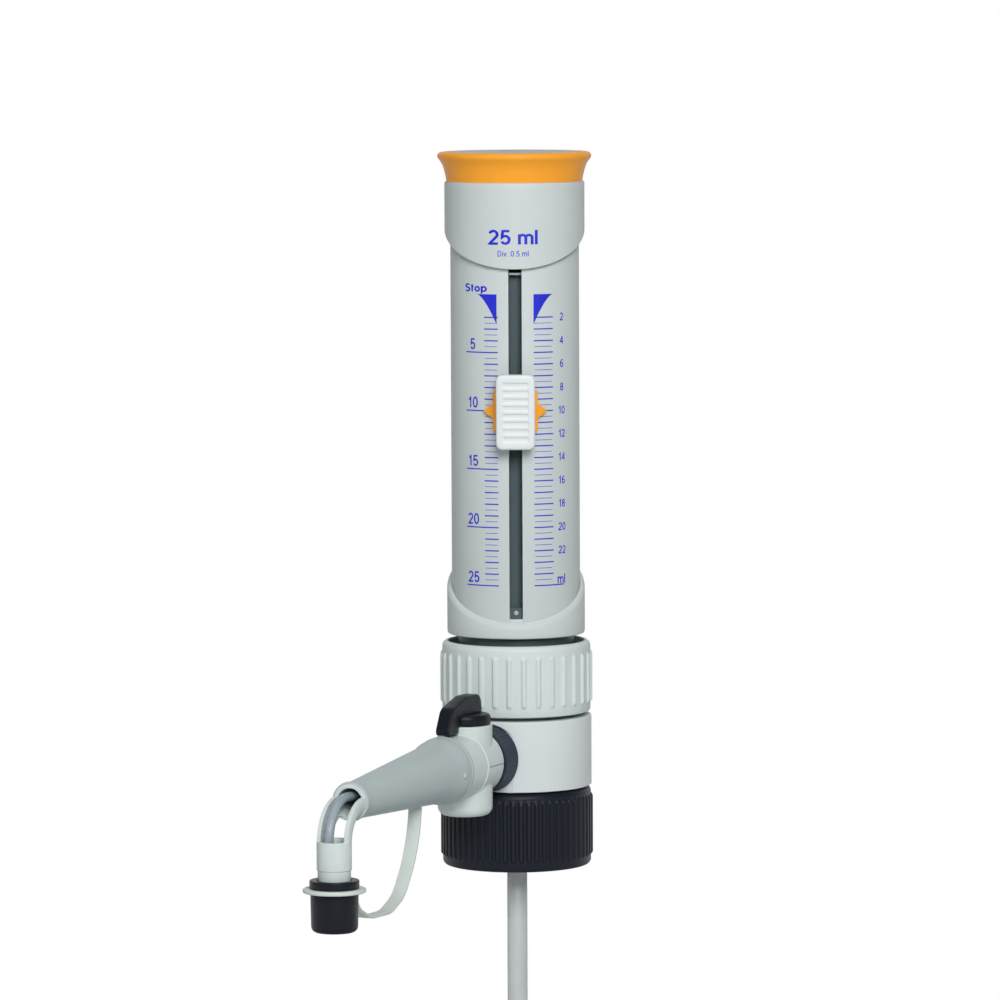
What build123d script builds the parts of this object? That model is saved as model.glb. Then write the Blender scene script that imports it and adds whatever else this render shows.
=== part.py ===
from build123d import *
from math import cos, pi, radians, sin, sqrt, tan
import os

# Bottle-top dispenser, in millimetres. +Z is up, the origin is on the neck axis at the mouth of
# the screw collar, and the selector slot looks along -Y. The spout leaves towards -Y and -X.

# Clearances between pieces that move on each other
RUNNING_GAP = 0.3
KEY_GAP = 0.05
PISTON_GAP = 0.05

# Screw collar that takes the 45 mm bottle neck
COLLAR_RADIUS = 26.4
COLLAR_HEIGHT = 27.2
COLLAR_TOP_THICKNESS = 2.6
COLLAR_RIB_COUNT = 60
COLLAR_RIB_HEIGHT = 0.6
COLLAR_RIB_BOTTOM = 3.4
COLLAR_RIB_TOP = 24.6
NECK_THREAD_RADIUS = 22.65
SPIGOT_RADIUS = 16.7
RETAINER_THICKNESS = 1.8
RETAINER_RADIUS = 21.6
NECK_SEAL_THICKNESS = 1.2
NECK_SEAL_BORE = 13.0
RETAINER_SCREW_CIRCLE = 14.9
RETAINER_SCREW_RADIUS = 1.2
RETAINER_SCREW_HEAD = 1.8
RETAINER_SCREW_LENGTH = 5.0
RETAINER_SCREW_COUNT = 3

# Valve block
BLOCK_SHOULDER_WIDTH = 3.95
BLOCK_GAP = 0.5
BLOCK_HEIGHT = 24.3
BLOCK_NECK_OVER_JACKET = 2.0
BLOCK_NECK_HEIGHT = 14.0
CHANNEL_RADIUS = 2.6

# Inlet valve and suction tube
INLET_RADIUS = 7.0
INLET_FLANGE_RADIUS = 9.0
INLET_DEPTH = 11.0
INLET_FLANGE_THICKNESS = 3.0
INLET_SEAL_THICKNESS = 0.6
INLET_NIPPLE_LENGTH = 11.0
SUCTION_TUBE_RADIUS = 3.5
SUCTION_TUBE_BORE = 2.3
SUCTION_TUBE_LENGTH = 216.0
SUCTION_TUBE_END_ANGLE = 35.0
VALVE_CAVITY_RADIUS = 3.1
VALVE_SEAT_BORE = 1.6
VALVE_BALL_RADIUS = 2.75
VALVE_BALL_LIFT = 1.5

# Locking ring that clamps the barrel and its jacket
LOCK_OVER_BLOCK = 0.45
LOCK_GAP = 1.3
LOCK_HEIGHT = 24.6
LOCK_RIB_COUNT = 32
LOCK_RIB_HEIGHT = 0.7
LOCK_RIB_WIDTH = 1.7
LOCK_RIB_MARGIN_BOTTOM = 3.0
LOCK_RIB_MARGIN_TOP = 3.4
LOCK_SHELF_THICKNESS = 3.6
LOCK_MOUTH_WALL = 2.2

# Jacket and glass barrel
JACKET_STEP = 2.4
JACKET_WALL = 1.4
JACKET_BASE_RADIUS = 20.0
JACKET_FLANGE_THICKNESS = 2.4
JACKET_FLANGE_GAP = 0.2
JACKET_SHOULDER_RISE = 4.8
JACKET_ABOVE_ZERO = 6.0
STOP_RING_THICKNESS = 1.6
STOP_RING_WIDTH = 2.35
STOP_RING_LIP = 4.0
STOP_RING_WALL = 1.3
BARREL_BORE = 8.92
BARREL_WALL = 1.7
BARREL_BELOW_ZERO = 0.6
BARREL_FLANGE_RADIUS = 13.6
BARREL_FLANGE_THICKNESS = 2.5
BARREL_SEAL_THICKNESS = 1.2
BARREL_SOCKET_DEPTH = 9.4
BARREL_SOCKET_RADIUS = 14.0
BARREL_GUIDE_LENGTH = 5.0
CLAMP_CLEARANCE = 0.4

# Sliding sleeve with its foot collar and head shell
SLEEVE_CLEARANCE = 1.0
SLEEVE_WALL = 1.15
SLOT_WIDTH = 4.25
SLOT_RISE = 4.1
SLOT_ABOVE_ZERO = 14.4
FOOT_GAP = 2.4
FOOT_WALL = 1.65
FOOT_LEDGE = 2.7
FOOT_LIP_RISE = 3.1
FOOT_LIP_ROUND = 1.2
BUSH_HEIGHT = 8.0
BUSH_PIN_RADIUS = 0.8
LIP_SLOPE = 28.1
HEAD_WALL = 1.95
HEAD_LIP_ABOVE_ZERO = 8.3
HEAD_ABOVE_ZERO = 37.9
HEAD_ROOF = 2.0
HEAD_HOLE_RADIUS = 11.0

# Grip ring, top disc and plunger
GRIP_OVER_HEAD = 2.45
GRIP_FOOT_SETBACK = 1.2
GRIP_HEIGHT = 10.1
GRIP_WALL = 2.3
DISC_RIM_WIDTH = 3.75
DISC_RECESS = 2.0
DISC_DOME = 0.4
HUB_THICKNESS = 6.4
HUB_GAP = 0.3
HUB_BOSS_RADIUS = 9.0
HUB_BOSS_DEPTH = 8.0
HUB_SCREW_COUNT = 3
HUB_SCREW_CIRCLE = 16.0
HUB_SCREW_RADIUS = 1.5
HUB_SCREW_HEAD = 2.8
ROD_RADIUS = 6.0
PISTON_LENGTH = 18.0
PISTON_SKIN = 0.9
PISTON_FLOOR_GAP = 1.0

# Dosing scale: 25 ml over a stroke of 100 mm
ZERO_ABOVE_SLOT = 11.5
STROKE = 100.0
FULL_VOLUME = 25.0
SET_VOLUME = 10.0
VOLUME_STEP = 0.5

# Volume selector
POINTER_THICKNESS = 1.25
POINTER_GAP = 0.3
POINTER_HALF_WIDTH = 7.67
POINTER_HALF_HEIGHT = 7.2
POINTER_TIP = 10.95
POINTER_TIP_HALF_HEIGHT = 2.4
POINTER_BOSS_HALF_WIDTH = 4.9
POINTER_BOSS_HALF_HEIGHT = 6.0
BUTTON_WIDTH = 13.4
BUTTON_HEIGHT = 25.6
BUTTON_CORNER = 2.2
BUTTON_OVER_SLEEVE = 3.25
BUTTON_THICKNESS = 4.4
BUTTON_WALL = 1.3
BUTTON_ROOF = 1.5
BUTTON_TRAVEL = 1.0
BUTTON_GROOVES = 8
BUTTON_GROOVE_PITCH = 2.64
BUTTON_GROOVE_WIDTH = 8.6
BUTTON_GROOVE_DEPTH = 0.35
RACK_THICKNESS = 0.7
RACK_START = 3.0
RACK_END = 5.8
RACK_NOTCH_DEPTH = 1.4
RACK_NOTCH_HEIGHT = 1.2
SHOE_THICKNESS = 1.3
SHOE_HALF_HEIGHT = 6.0
STOP_TOOTH_THICKNESS = 1.9
STOP_TOOTH_HEIGHT = 1.6
PAWL_THICKNESS = 1.1
PAWL_HALF_HEIGHT = 2.5
PAWL_STEM_HALF_WIDTH = 1.6
POST_HALF_WIDTH = 1.8

# Spout: directions and heights
SPOUT_ANGLE = 246.0
SPOUT_Z = 39.5
OUTLET_START = 12.3
OUTLET_RADIUS = 6.0
OUTLET_NECK_RADIUS = 8.2
OUTLET_NECK_SINK = 1.75
OUTLET_REACH = 2.45
OUTLET_BALL_RADIUS = 2.5
OUTLET_BALL_TRAVEL = 1.2
NUT_RADIUS = 11.7
NUT_SINK = 1.35
NUT_LENGTH = 10.4
NUT_LIP = 2.5
NUT_GROOVE_COUNT = 36
NUT_GROOVE_DEPTH = 0.35
TAIL_RADIUS = 7.0
TAIL_FLANGE_RADIUS = 8.2
OUTLET_SEAL_THICKNESS = 0.8

# Stopcock
TAP_SPACE = 8.5
TAP_RADIUS = 9.35
TAP_BOTTOM = 22.2
TAP_TOP = 53.2
TAP_ROUND = 3.0
TUBE_RADIUS = 11.25
TUBE_LENGTH = 25.5
TUBE_GROOVE_SETBACK = 11.8
TUBE_GROOVE_WIDTH = 0.9
TUBE_GROOVE_DEPTH = 0.5
NOSE_RADIUS = 9.6
NOSE_LENGTH = 5.0
KEY_RADIUS = 6.0
KEY_BOTTOM = 26.5
KEY_BORE = 1.8
KNOB_RADIUS = 8.8
KNOB_GAP = 0.3
KNOB_THICKNESS = 3.5
LEVER_THICKNESS = 5.0
LEVER_REACH = 21.5
LEVER_TOP = 63.4
LEVER_CLEARANCE = 0.7

# Jet shroud, elbow, jet tube and nozzle
SHROUD_RADIUS = 11.0
SHROUD_WALL = 1.2
SHROUD_LENGTH = 72.8
SHROUD_END_RADIUS = 6.0
SHROUD_END_Z = 38.0
SHROUD_LIP = 1.2
ELBOW_RADIUS = 5.75
ELBOW_WALL = 1.25
ELBOW_BEND = 12.5
NOZZLE_REACH = 13.4
NOZZLE_RADIUS = 5.45
NOZZLE_STEP_Z = 17.0
NOZZLE_END_Z = 1.0
WINDOW_BOTTOM = 26.5
JET_TUBE_RADIUS = 1.55
JET_TUBE_BORE = 1.0
JET_TUBE_BEND = 13.5
JET_TUBE_OFFSET = 1.8
JET_TUBE_END_Z = 2.5

# Nozzle cap and its strap
CAP_RADIUS = 7.9
CAP_RIM_RADIUS = 8.15
CAP_BOTTOM = -3.2
CAP_TOP = 13.9
CAP_FLOOR = 2.2
CAP_ROUND = 2.0
STRAP_RING_Z = 10.5
STRAP_RING_THICKNESS = 1.3
STRAP_RING_RADIUS = 10.35
CAP_GROOVE_DEPTH = 0.7
STRAP_WIDTH = 4.7
STRAP_THICKNESS = 0.9
STRAP_ANCHOR_SETBACK = 23.2
STRAP_LOW_Z = -3.3

# Places worked out from the sizes above, first the ones that nest inside one another
JACKET_RADIUS = JACKET_BASE_RADIUS - JACKET_STEP
JACKET_BORE = JACKET_RADIUS - JACKET_WALL
STOP_RING_RADIUS = JACKET_RADIUS + STOP_RING_WIDTH
BLOCK_NECK_RADIUS = JACKET_BASE_RADIUS + BLOCK_NECK_OVER_JACKET
JACKET_FLANGE_RADIUS = BLOCK_NECK_RADIUS - JACKET_FLANGE_GAP
BLOCK_RADIUS = BLOCK_NECK_RADIUS + BLOCK_SHOULDER_WIDTH
LOCK_RADIUS = BLOCK_RADIUS + LOCK_OVER_BLOCK
LOCK_CORE_RADIUS = LOCK_RADIUS - LOCK_RIB_HEIGHT
LOCK_MOUTH_RADIUS = LOCK_CORE_RADIUS - LOCK_MOUTH_WALL
SLEEVE_BORE = JACKET_BASE_RADIUS + SLEEVE_CLEARANCE
SLEEVE_RADIUS = SLEEVE_BORE + SLEEVE_WALL
FOOT_RADIUS = SLEEVE_RADIUS + FOOT_WALL
HEAD_RADIUS = SLEEVE_RADIUS + HEAD_WALL
GRIP_RADIUS = HEAD_RADIUS + GRIP_OVER_HEAD
GRIP_FOOT_RADIUS = HEAD_RADIUS - GRIP_FOOT_SETBACK
GRIP_BORE = GRIP_FOOT_RADIUS - GRIP_WALL
DISC_RADIUS = GRIP_RADIUS - DISC_RIM_WIDTH
HUB_RADIUS = SLEEVE_BORE - HUB_GAP
RACK_INNER = SLEEVE_BORE - RACK_THICKNESS
SHOE_OUTER = SLEEVE_BORE - RUNNING_GAP
SHOE_INNER = SHOE_OUTER - SHOE_THICKNESS
STOP_TOOTH_INNER = SHOE_OUTER - STOP_TOOTH_THICKNESS
PAWL_OUTER = RACK_INNER - RUNNING_GAP
PAWL_INNER = PAWL_OUTER - PAWL_THICKNESS
BARREL_RADIUS = BARREL_BORE + BARREL_WALL

# Heights, from the collar's mouth up
COLLAR_INSIDE_TOP = COLLAR_HEIGHT - COLLAR_TOP_THICKNESS
RETAINER_TOP = COLLAR_INSIDE_TOP - RUNNING_GAP
RETAINER_BOTTOM = RETAINER_TOP - RETAINER_THICKNESS
NECK_SEAT_Z = RETAINER_BOTTOM - NECK_SEAL_THICKNESS
BLOCK_BOTTOM = COLLAR_HEIGHT + BLOCK_GAP
BLOCK_TOP = BLOCK_BOTTOM + BLOCK_HEIGHT
BLOCK_NECK_TOP = BLOCK_TOP + BLOCK_NECK_HEIGHT
LOCK_BOTTOM = BLOCK_TOP + LOCK_GAP
LOCK_TOP = LOCK_BOTTOM + LOCK_HEIGHT
JACKET_FLANGE_TOP = BLOCK_NECK_TOP + JACKET_FLANGE_THICKNESS
LOCK_SHELF_BOTTOM = JACKET_FLANGE_TOP + RUNNING_GAP
LOCK_SHELF_TOP = LOCK_SHELF_BOTTOM + LOCK_SHELF_THICKNESS
JACKET_SHOULDER = LOCK_TOP + JACKET_SHOULDER_RISE
FOOT_BOTTOM = LOCK_TOP + FOOT_GAP
SLEEVE_BOTTOM = FOOT_BOTTOM + FOOT_LEDGE
FOOT_LIP_FRONT = SLEEVE_BOTTOM + FOOT_LIP_RISE
SLOT_BOTTOM = SLEEVE_BOTTOM + SLOT_RISE
SCALE_ZERO = SLOT_BOTTOM + ZERO_ABOVE_SLOT + STROKE
SLOT_TOP = SCALE_ZERO + SLOT_ABOVE_ZERO
JACKET_TOP = SCALE_ZERO + JACKET_ABOVE_ZERO
BARREL_TOP = SCALE_ZERO - BARREL_BELOW_ZERO
HEAD_LIP_FRONT = SCALE_ZERO + HEAD_LIP_ABOVE_ZERO
HEAD_TOP = SCALE_ZERO + HEAD_ABOVE_ZERO
SLEEVE_TOP = HEAD_TOP - HEAD_ROOF
GRIP_TOP = HEAD_TOP + GRIP_HEIGHT
HUB_TOP = SLEEVE_TOP
HUB_BOTTOM = HUB_TOP - HUB_THICKNESS
LIP_RISE = tan(radians(LIP_SLOPE))
BARREL_FLOOR = BLOCK_NECK_TOP - BARREL_SOCKET_DEPTH
BARREL_BOTTOM = BARREL_FLOOR + BARREL_SEAL_THICKNESS
PISTON_BOTTOM = BARREL_BOTTOM + PISTON_FLOOR_GAP
PISTON_TOP = PISTON_BOTTOM + PISTON_LENGTH

# Inlet valve
INLET_TOP = RETAINER_TOP + INLET_DEPTH
INLET_FLANGE_TOP = RETAINER_TOP - INLET_SEAL_THICKNESS
INLET_FLANGE_BOTTOM = INLET_FLANGE_TOP - INLET_FLANGE_THICKNESS
INLET_SEAT_Z = RETAINER_TOP + 2.7
SEAT_TO_CENTRE = sqrt(VALVE_BALL_RADIUS**2 - VALVE_SEAT_BORE**2)
VALVE_BALL_Z = INLET_SEAT_Z + SEAT_TO_CENTRE + 0.03
VALVE_CAVITY_TOP = VALVE_BALL_Z + VALVE_BALL_RADIUS + VALVE_BALL_LIFT + 0.2
SUCTION_TUBE_TOP = INLET_FLANGE_BOTTOM - 1.0

# Selector
MM_PER_ML = STROKE / FULL_VOLUME
SET_Z = SCALE_ZERO - SET_VOLUME * MM_PER_ML
NOTCH_PITCH = VOLUME_STEP * MM_PER_ML
TOOTH_TOP_Z = SET_Z + JACKET_TOP - SCALE_ZERO - 0.1
POINTER_INNER = SLEEVE_RADIUS + POINTER_GAP
POINTER_OUTER = POINTER_INNER + POINTER_THICKNESS
BUTTON_UNDERSIDE = SLEEVE_RADIUS + BUTTON_OVER_SLEEVE
SELECTOR_LOW = SET_Z - BUTTON_HEIGHT
SELECTOR_HIGH = SET_Z + BUTTON_HEIGHT
BUTTON_CEILING = BUTTON_UNDERSIDE + BUTTON_THICKNESS - BUTTON_ROOF
POINTER_BOSS_TOP = BUTTON_CEILING - BUTTON_TRAVEL - RUNNING_GAP

# Distances out along the spout
OUTLET_END = BLOCK_RADIUS + OUTLET_REACH
NUT_START = BLOCK_RADIUS - NUT_SINK
NUT_END = NUT_START + NUT_LENGTH
TAIL_START = OUTLET_END + OUTLET_SEAL_THICKNESS
TAP_AT = NUT_END + TAP_SPACE
TUBE_START = NUT_END + RUNNING_GAP
TUBE_END = TUBE_START + TUBE_LENGTH
TUBE_GROOVE_AT = TUBE_END - TUBE_GROOVE_SETBACK
SHROUD_END = TUBE_END + SHROUD_LENGTH
NOZZLE_AT = SHROUD_END + NOZZLE_REACH
ELBOW_START = NOZZLE_AT - ELBOW_BEND
JET_TUBE_AT = NOZZLE_AT + JET_TUBE_OFFSET
STRAP_ANCHOR_AT = TUBE_END + STRAP_ANCHOR_SETBACK
KNOB_BOTTOM = TAP_TOP + KNOB_GAP
KNOB_TOP = KNOB_BOTTOM + KNOB_THICKNESS
SPOUT_DIRECTION = Vector(cos(radians(SPOUT_ANGLE)), sin(radians(SPOUT_ANGLE)), 0)
SPOUT_LEFT = Vector(SPOUT_DIRECTION.Y, -SPOUT_DIRECTION.X, 0)

# Along the spout: a piece turned about Z lies down with its axis on the spout's axis.
ON_SPOUT = Plane(origin=(0, 0, SPOUT_Z), x_dir=(0, 0, 1), z_dir=SPOUT_DIRECTION)
# The vertical plane through the spout: x runs out along the spout and y is the height.
SPOUT_SIDE = Plane(origin=(0, 0, 0), x_dir=SPOUT_DIRECTION, z_dir=SPOUT_LEFT)


def outline(*corners):
    """A closed face from corners given as (x, y) or (x, y, rounding radius)."""
    points = [(corner[0], corner[1]) for corner in corners]
    rounds = [corner[2] if len(corner) > 2 else 0 for corner in corners]
    return make_face(FilletPolyline(*points, radius=rounds, close=True))


def turned(*corners):
    """A body turned about Z from corners given as (radius, height, rounding)."""
    return revolve(Plane.XZ * outline(*corners), axis=Axis.Z)


def ring(inner, outer, bottom, top):
    """A plain ring about Z."""
    return turned((inner, bottom), (outer, bottom), (outer, top), (inner, top))


def rod(radius, bottom, top):
    """A plain cylinder about Z."""
    return Pos(0, 0, (bottom + top) / 2) * Cylinder(radius, top - bottom)


def block(x0, x1, y0, y1, z0, z1):
    """A box between two corners."""
    centre = Pos((x0 + x1) / 2, (y0 + y1) / 2, (z0 + z1) / 2)
    return centre * Box(x1 - x0, y1 - y0, z1 - z0)


def around(shape, count, radius=0, start=0):
    """The shape repeated about Z, moved out by a radius first."""
    step = 360 / count
    return [Rot(0, 0, start + step * i) * Pos(radius, 0, 0) * shape for i in range(count)]


def ribs(count, root, crest, width, bottom, top, chamfer):
    """A ring of straight upright ribs with sloped ends, to be fused with a turned body."""
    pitch = 2 * pi / count
    corners = []
    for index in range(count):
        middle = index * pitch
        crest_half = width / crest / 2
        root_half = crest_half + chamfer / crest / 3
        for radius, angle in (
            (root, middle - root_half),
            (crest, middle - crest_half),
            (crest, middle + crest_half),
            (root, middle + root_half),
        ):
            corners.append((radius * cos(angle), radius * sin(angle)))
    prism = Pos(0, 0, bottom) * extrude(make_face(Polyline(*corners, close=True)), top - bottom)
    inner = root - 1
    envelope = turned(
        (inner, bottom),
        (root, bottom),
        (crest + 0.01, bottom + chamfer),
        (crest + 0.01, top - chamfer),
        (root, top),
        (inner, top),
    )
    return prism & envelope


def lip_cut(front_radius, front_z):
    """Everything above the sloping plane that passes through the front at this height."""
    size = 12 * front_radius
    slab = Pos(0, 0, size / 2) * Box(size, size, size)
    return Pos(0, -front_radius, front_z) * Rot(LIP_SLOPE, 0, 0) * slab


def build_collar():
    """The ribbed screw collar, hollow for the neck, and the ring that holds it on the block."""
    core = COLLAR_RADIUS - COLLAR_RIB_HEIGHT
    body = turned(
        (NECK_THREAD_RADIUS, 0, 0.4),
        (core, 0, 1.2),
        (core, COLLAR_HEIGHT, 1.6),
        (SPIGOT_RADIUS + RUNNING_GAP, COLLAR_HEIGHT),
        (SPIGOT_RADIUS + RUNNING_GAP, COLLAR_INSIDE_TOP),
        (NECK_THREAD_RADIUS, COLLAR_INSIDE_TOP),
    )
    rib_width = 2 * pi * COLLAR_RADIUS / COLLAR_RIB_COUNT * 0.55
    grip = ribs(
        COLLAR_RIB_COUNT,
        core - 0.2,
        COLLAR_RADIUS,
        rib_width,
        COLLAR_RIB_BOTTOM,
        COLLAR_RIB_TOP,
        0.9,
    )
    parts["bottle_collar"] = body + grip

    screw_head_depth = RETAINER_SCREW_HEAD - RETAINER_SCREW_RADIUS
    screw = turned(
        (0, RETAINER_BOTTOM),
        (RETAINER_SCREW_HEAD, RETAINER_BOTTOM),
        (RETAINER_SCREW_RADIUS, RETAINER_BOTTOM + screw_head_depth),
        (RETAINER_SCREW_RADIUS, RETAINER_BOTTOM + RETAINER_SCREW_LENGTH),
        (0, RETAINER_BOTTOM + RETAINER_SCREW_LENGTH),
    )
    screws = around(screw, RETAINER_SCREW_COUNT, RETAINER_SCREW_CIRCLE)
    parts["retainer_screws"] = Compound(children=screws)
    plate = ring(NECK_SEAL_BORE, RETAINER_RADIUS, RETAINER_BOTTOM, RETAINER_TOP)
    parts["retaining_plate"] = plate - screws
    parts["neck_seal"] = ring(NECK_SEAL_BORE, RETAINER_RADIUS, NECK_SEAT_Z, RETAINER_BOTTOM)
    return screws


def build_valve_block(screws):
    """The block that the collar, the barrel, the inlet valve and the spout all fasten to."""
    body = turned(
        (0, RETAINER_TOP),
        (SPIGOT_RADIUS, RETAINER_TOP),
        (SPIGOT_RADIUS, BLOCK_BOTTOM),
        (BLOCK_RADIUS, BLOCK_BOTTOM, 0.3),
        (BLOCK_RADIUS, BLOCK_TOP, 0.3),
        (BLOCK_NECK_RADIUS, BLOCK_TOP),
        (BLOCK_NECK_RADIUS, BLOCK_NECK_TOP, 0.6),
        (BARREL_SOCKET_RADIUS, BLOCK_NECK_TOP),
        (BARREL_SOCKET_RADIUS, BARREL_FLOOR),
        (0, BARREL_FLOOR),
    )
    body -= rod(INLET_RADIUS, RETAINER_TOP, INLET_TOP)
    body -= rod(CHANNEL_RADIUS, INLET_TOP, BARREL_FLOOR)
    side = rod(OUTLET_RADIUS, OUTLET_START, BLOCK_RADIUS + 2)
    side += rod(CHANNEL_RADIUS, 0, OUTLET_START)
    recess = NUT_RADIUS + RUNNING_GAP
    recess_start = BLOCK_RADIUS - OUTLET_NECK_SINK
    side += rod(recess, recess_start, BLOCK_RADIUS + 2)
    side += block(-BLOCK_HEIGHT, 0, -recess, recess, recess_start, BLOCK_RADIUS + 2)
    body -= ON_SPOUT * side
    parts["valve_block"] = body - screws


def build_inlet():
    """Inlet valve with its seal and ball, and the suction tube pushed onto its nipple."""
    nipple_end = INLET_FLANGE_BOTTOM - INLET_NIPPLE_LENGTH
    body = turned(
        (VALVE_SEAT_BORE, nipple_end),
        (SUCTION_TUBE_BORE - 0.4, nipple_end),
        (SUCTION_TUBE_BORE, nipple_end + 1.5),
        (SUCTION_TUBE_BORE, INLET_FLANGE_BOTTOM),
        (INLET_FLANGE_RADIUS, INLET_FLANGE_BOTTOM, 0.5),
        (INLET_FLANGE_RADIUS, INLET_FLANGE_TOP),
        (INLET_RADIUS, INLET_FLANGE_TOP),
        (INLET_RADIUS, INLET_TOP),
        (VALVE_SEAT_BORE, INLET_TOP),
        (VALVE_SEAT_BORE, VALVE_CAVITY_TOP),
        (VALVE_CAVITY_RADIUS, VALVE_CAVITY_TOP),
        (VALVE_CAVITY_RADIUS, INLET_SEAT_Z),
        (VALVE_SEAT_BORE, INLET_SEAT_Z),
    )
    flats = 2 * INLET_FLANGE_RADIUS * 0.93
    depth = INLET_FLANGE_TOP - INLET_FLANGE_BOTTOM
    wrench = Pos(0, 0, INLET_FLANGE_BOTTOM) * extrude(
        RegularPolygon(flats / 2, 6, major_radius=False), depth
    )
    above = rod(INLET_RADIUS, INLET_FLANGE_TOP, INLET_TOP)
    below = rod(SUCTION_TUBE_BORE, nipple_end, INLET_FLANGE_BOTTOM)
    parts["inlet_valve"] = body & (wrench + above + below)
    parts["inlet_seal"] = ring(INLET_RADIUS, INLET_FLANGE_RADIUS - 0.8, INLET_FLANGE_TOP, RETAINER_TOP)
    parts["inlet_ball"] = Pos(0, 0, VALVE_BALL_Z) * Sphere(VALVE_BALL_RADIUS)

    tube_end = SUCTION_TUBE_TOP - SUCTION_TUBE_LENGTH
    tube = ring(SUCTION_TUBE_BORE, SUCTION_TUBE_RADIUS, tube_end, SUCTION_TUBE_TOP)
    size = 8 * SUCTION_TUBE_RADIUS
    slab = Pos(0, 0, -size / 2) * Box(size, size, size)
    cut = Pos(-SUCTION_TUBE_RADIUS, 0, tube_end) * Rot(0, -SUCTION_TUBE_END_ANGLE, 0) * slab
    parts["suction_tube"] = tube - cut


def build_locking_ring():
    """The ribbed ring that screws onto the block's neck and presses on the jacket's flange."""
    body = turned(
        (BLOCK_NECK_RADIUS + RUNNING_GAP, LOCK_BOTTOM),
        (LOCK_CORE_RADIUS, LOCK_BOTTOM, 0.6),
        (LOCK_CORE_RADIUS, LOCK_TOP, 1.8),
        (LOCK_MOUTH_RADIUS, LOCK_TOP, 0.3),
        (LOCK_MOUTH_RADIUS, LOCK_SHELF_TOP),
        (JACKET_BASE_RADIUS + RUNNING_GAP, LOCK_SHELF_TOP),
        (JACKET_BASE_RADIUS + RUNNING_GAP, LOCK_SHELF_BOTTOM),
        (BLOCK_NECK_RADIUS + RUNNING_GAP, LOCK_SHELF_BOTTOM),
    )
    grip = ribs(
        LOCK_RIB_COUNT,
        LOCK_CORE_RADIUS - 0.2,
        LOCK_RADIUS,
        LOCK_RIB_WIDTH,
        LOCK_BOTTOM + LOCK_RIB_MARGIN_BOTTOM,
        LOCK_TOP - LOCK_RIB_MARGIN_TOP,
        1.0,
    )
    parts["locking_ring"] = body + grip


def build_barrel():
    """Glass barrel, the flanged clamp that holds it, and the jacket tube with the stop ring."""
    parts["barrel_seal"] = ring(BARREL_BORE, BARREL_FLANGE_RADIUS, BARREL_FLOOR, BARREL_BOTTOM)
    flange_top = BARREL_BOTTOM + BARREL_FLANGE_THICKNESS
    parts["glass_barrel"] = turned(
        (BARREL_BORE, BARREL_BOTTOM),
        (BARREL_FLANGE_RADIUS, BARREL_BOTTOM, 0.5),
        (BARREL_FLANGE_RADIUS, flange_top, 0.5),
        (BARREL_RADIUS, flange_top),
        (BARREL_RADIUS, BARREL_TOP, 0.5),
        (BARREL_BORE, BARREL_TOP),
    )
    clamp_inner = BARREL_RADIUS + CLAMP_CLEARANCE
    parts["barrel_clamp"] = turned(
        (clamp_inner, flange_top),
        (BARREL_FLANGE_RADIUS, flange_top),
        (BARREL_FLANGE_RADIUS, BLOCK_NECK_TOP),
        (JACKET_FLANGE_RADIUS, BLOCK_NECK_TOP),
        (JACKET_FLANGE_RADIUS, JACKET_FLANGE_TOP),
        (JACKET_BASE_RADIUS, JACKET_FLANGE_TOP),
        (JACKET_BASE_RADIUS, JACKET_SHOULDER, 1.0),
        (JACKET_RADIUS, JACKET_SHOULDER),
        (JACKET_RADIUS, JACKET_FLANGE_TOP),
        (clamp_inner, JACKET_FLANGE_TOP),
    )
    parts["barrel_jacket"] = ring(JACKET_BORE, JACKET_RADIUS, JACKET_FLANGE_TOP, JACKET_TOP)
    parts["barrel_guide"] = ring(
        BARREL_RADIUS, JACKET_BORE, BARREL_TOP - BARREL_GUIDE_LENGTH - 1, BARREL_TOP - 1
    )
    lip_bottom = JACKET_TOP - STOP_RING_LIP
    parts["stop_ring"] = turned(
        (JACKET_BORE - STOP_RING_WALL, lip_bottom),
        (JACKET_BORE, lip_bottom),
        (JACKET_BORE, JACKET_TOP),
        (STOP_RING_RADIUS, JACKET_TOP),
        (STOP_RING_RADIUS, JACKET_TOP + STOP_RING_THICKNESS, 0.4),
        (JACKET_BORE - STOP_RING_WALL, JACKET_TOP + STOP_RING_THICKNESS),
    )


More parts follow.
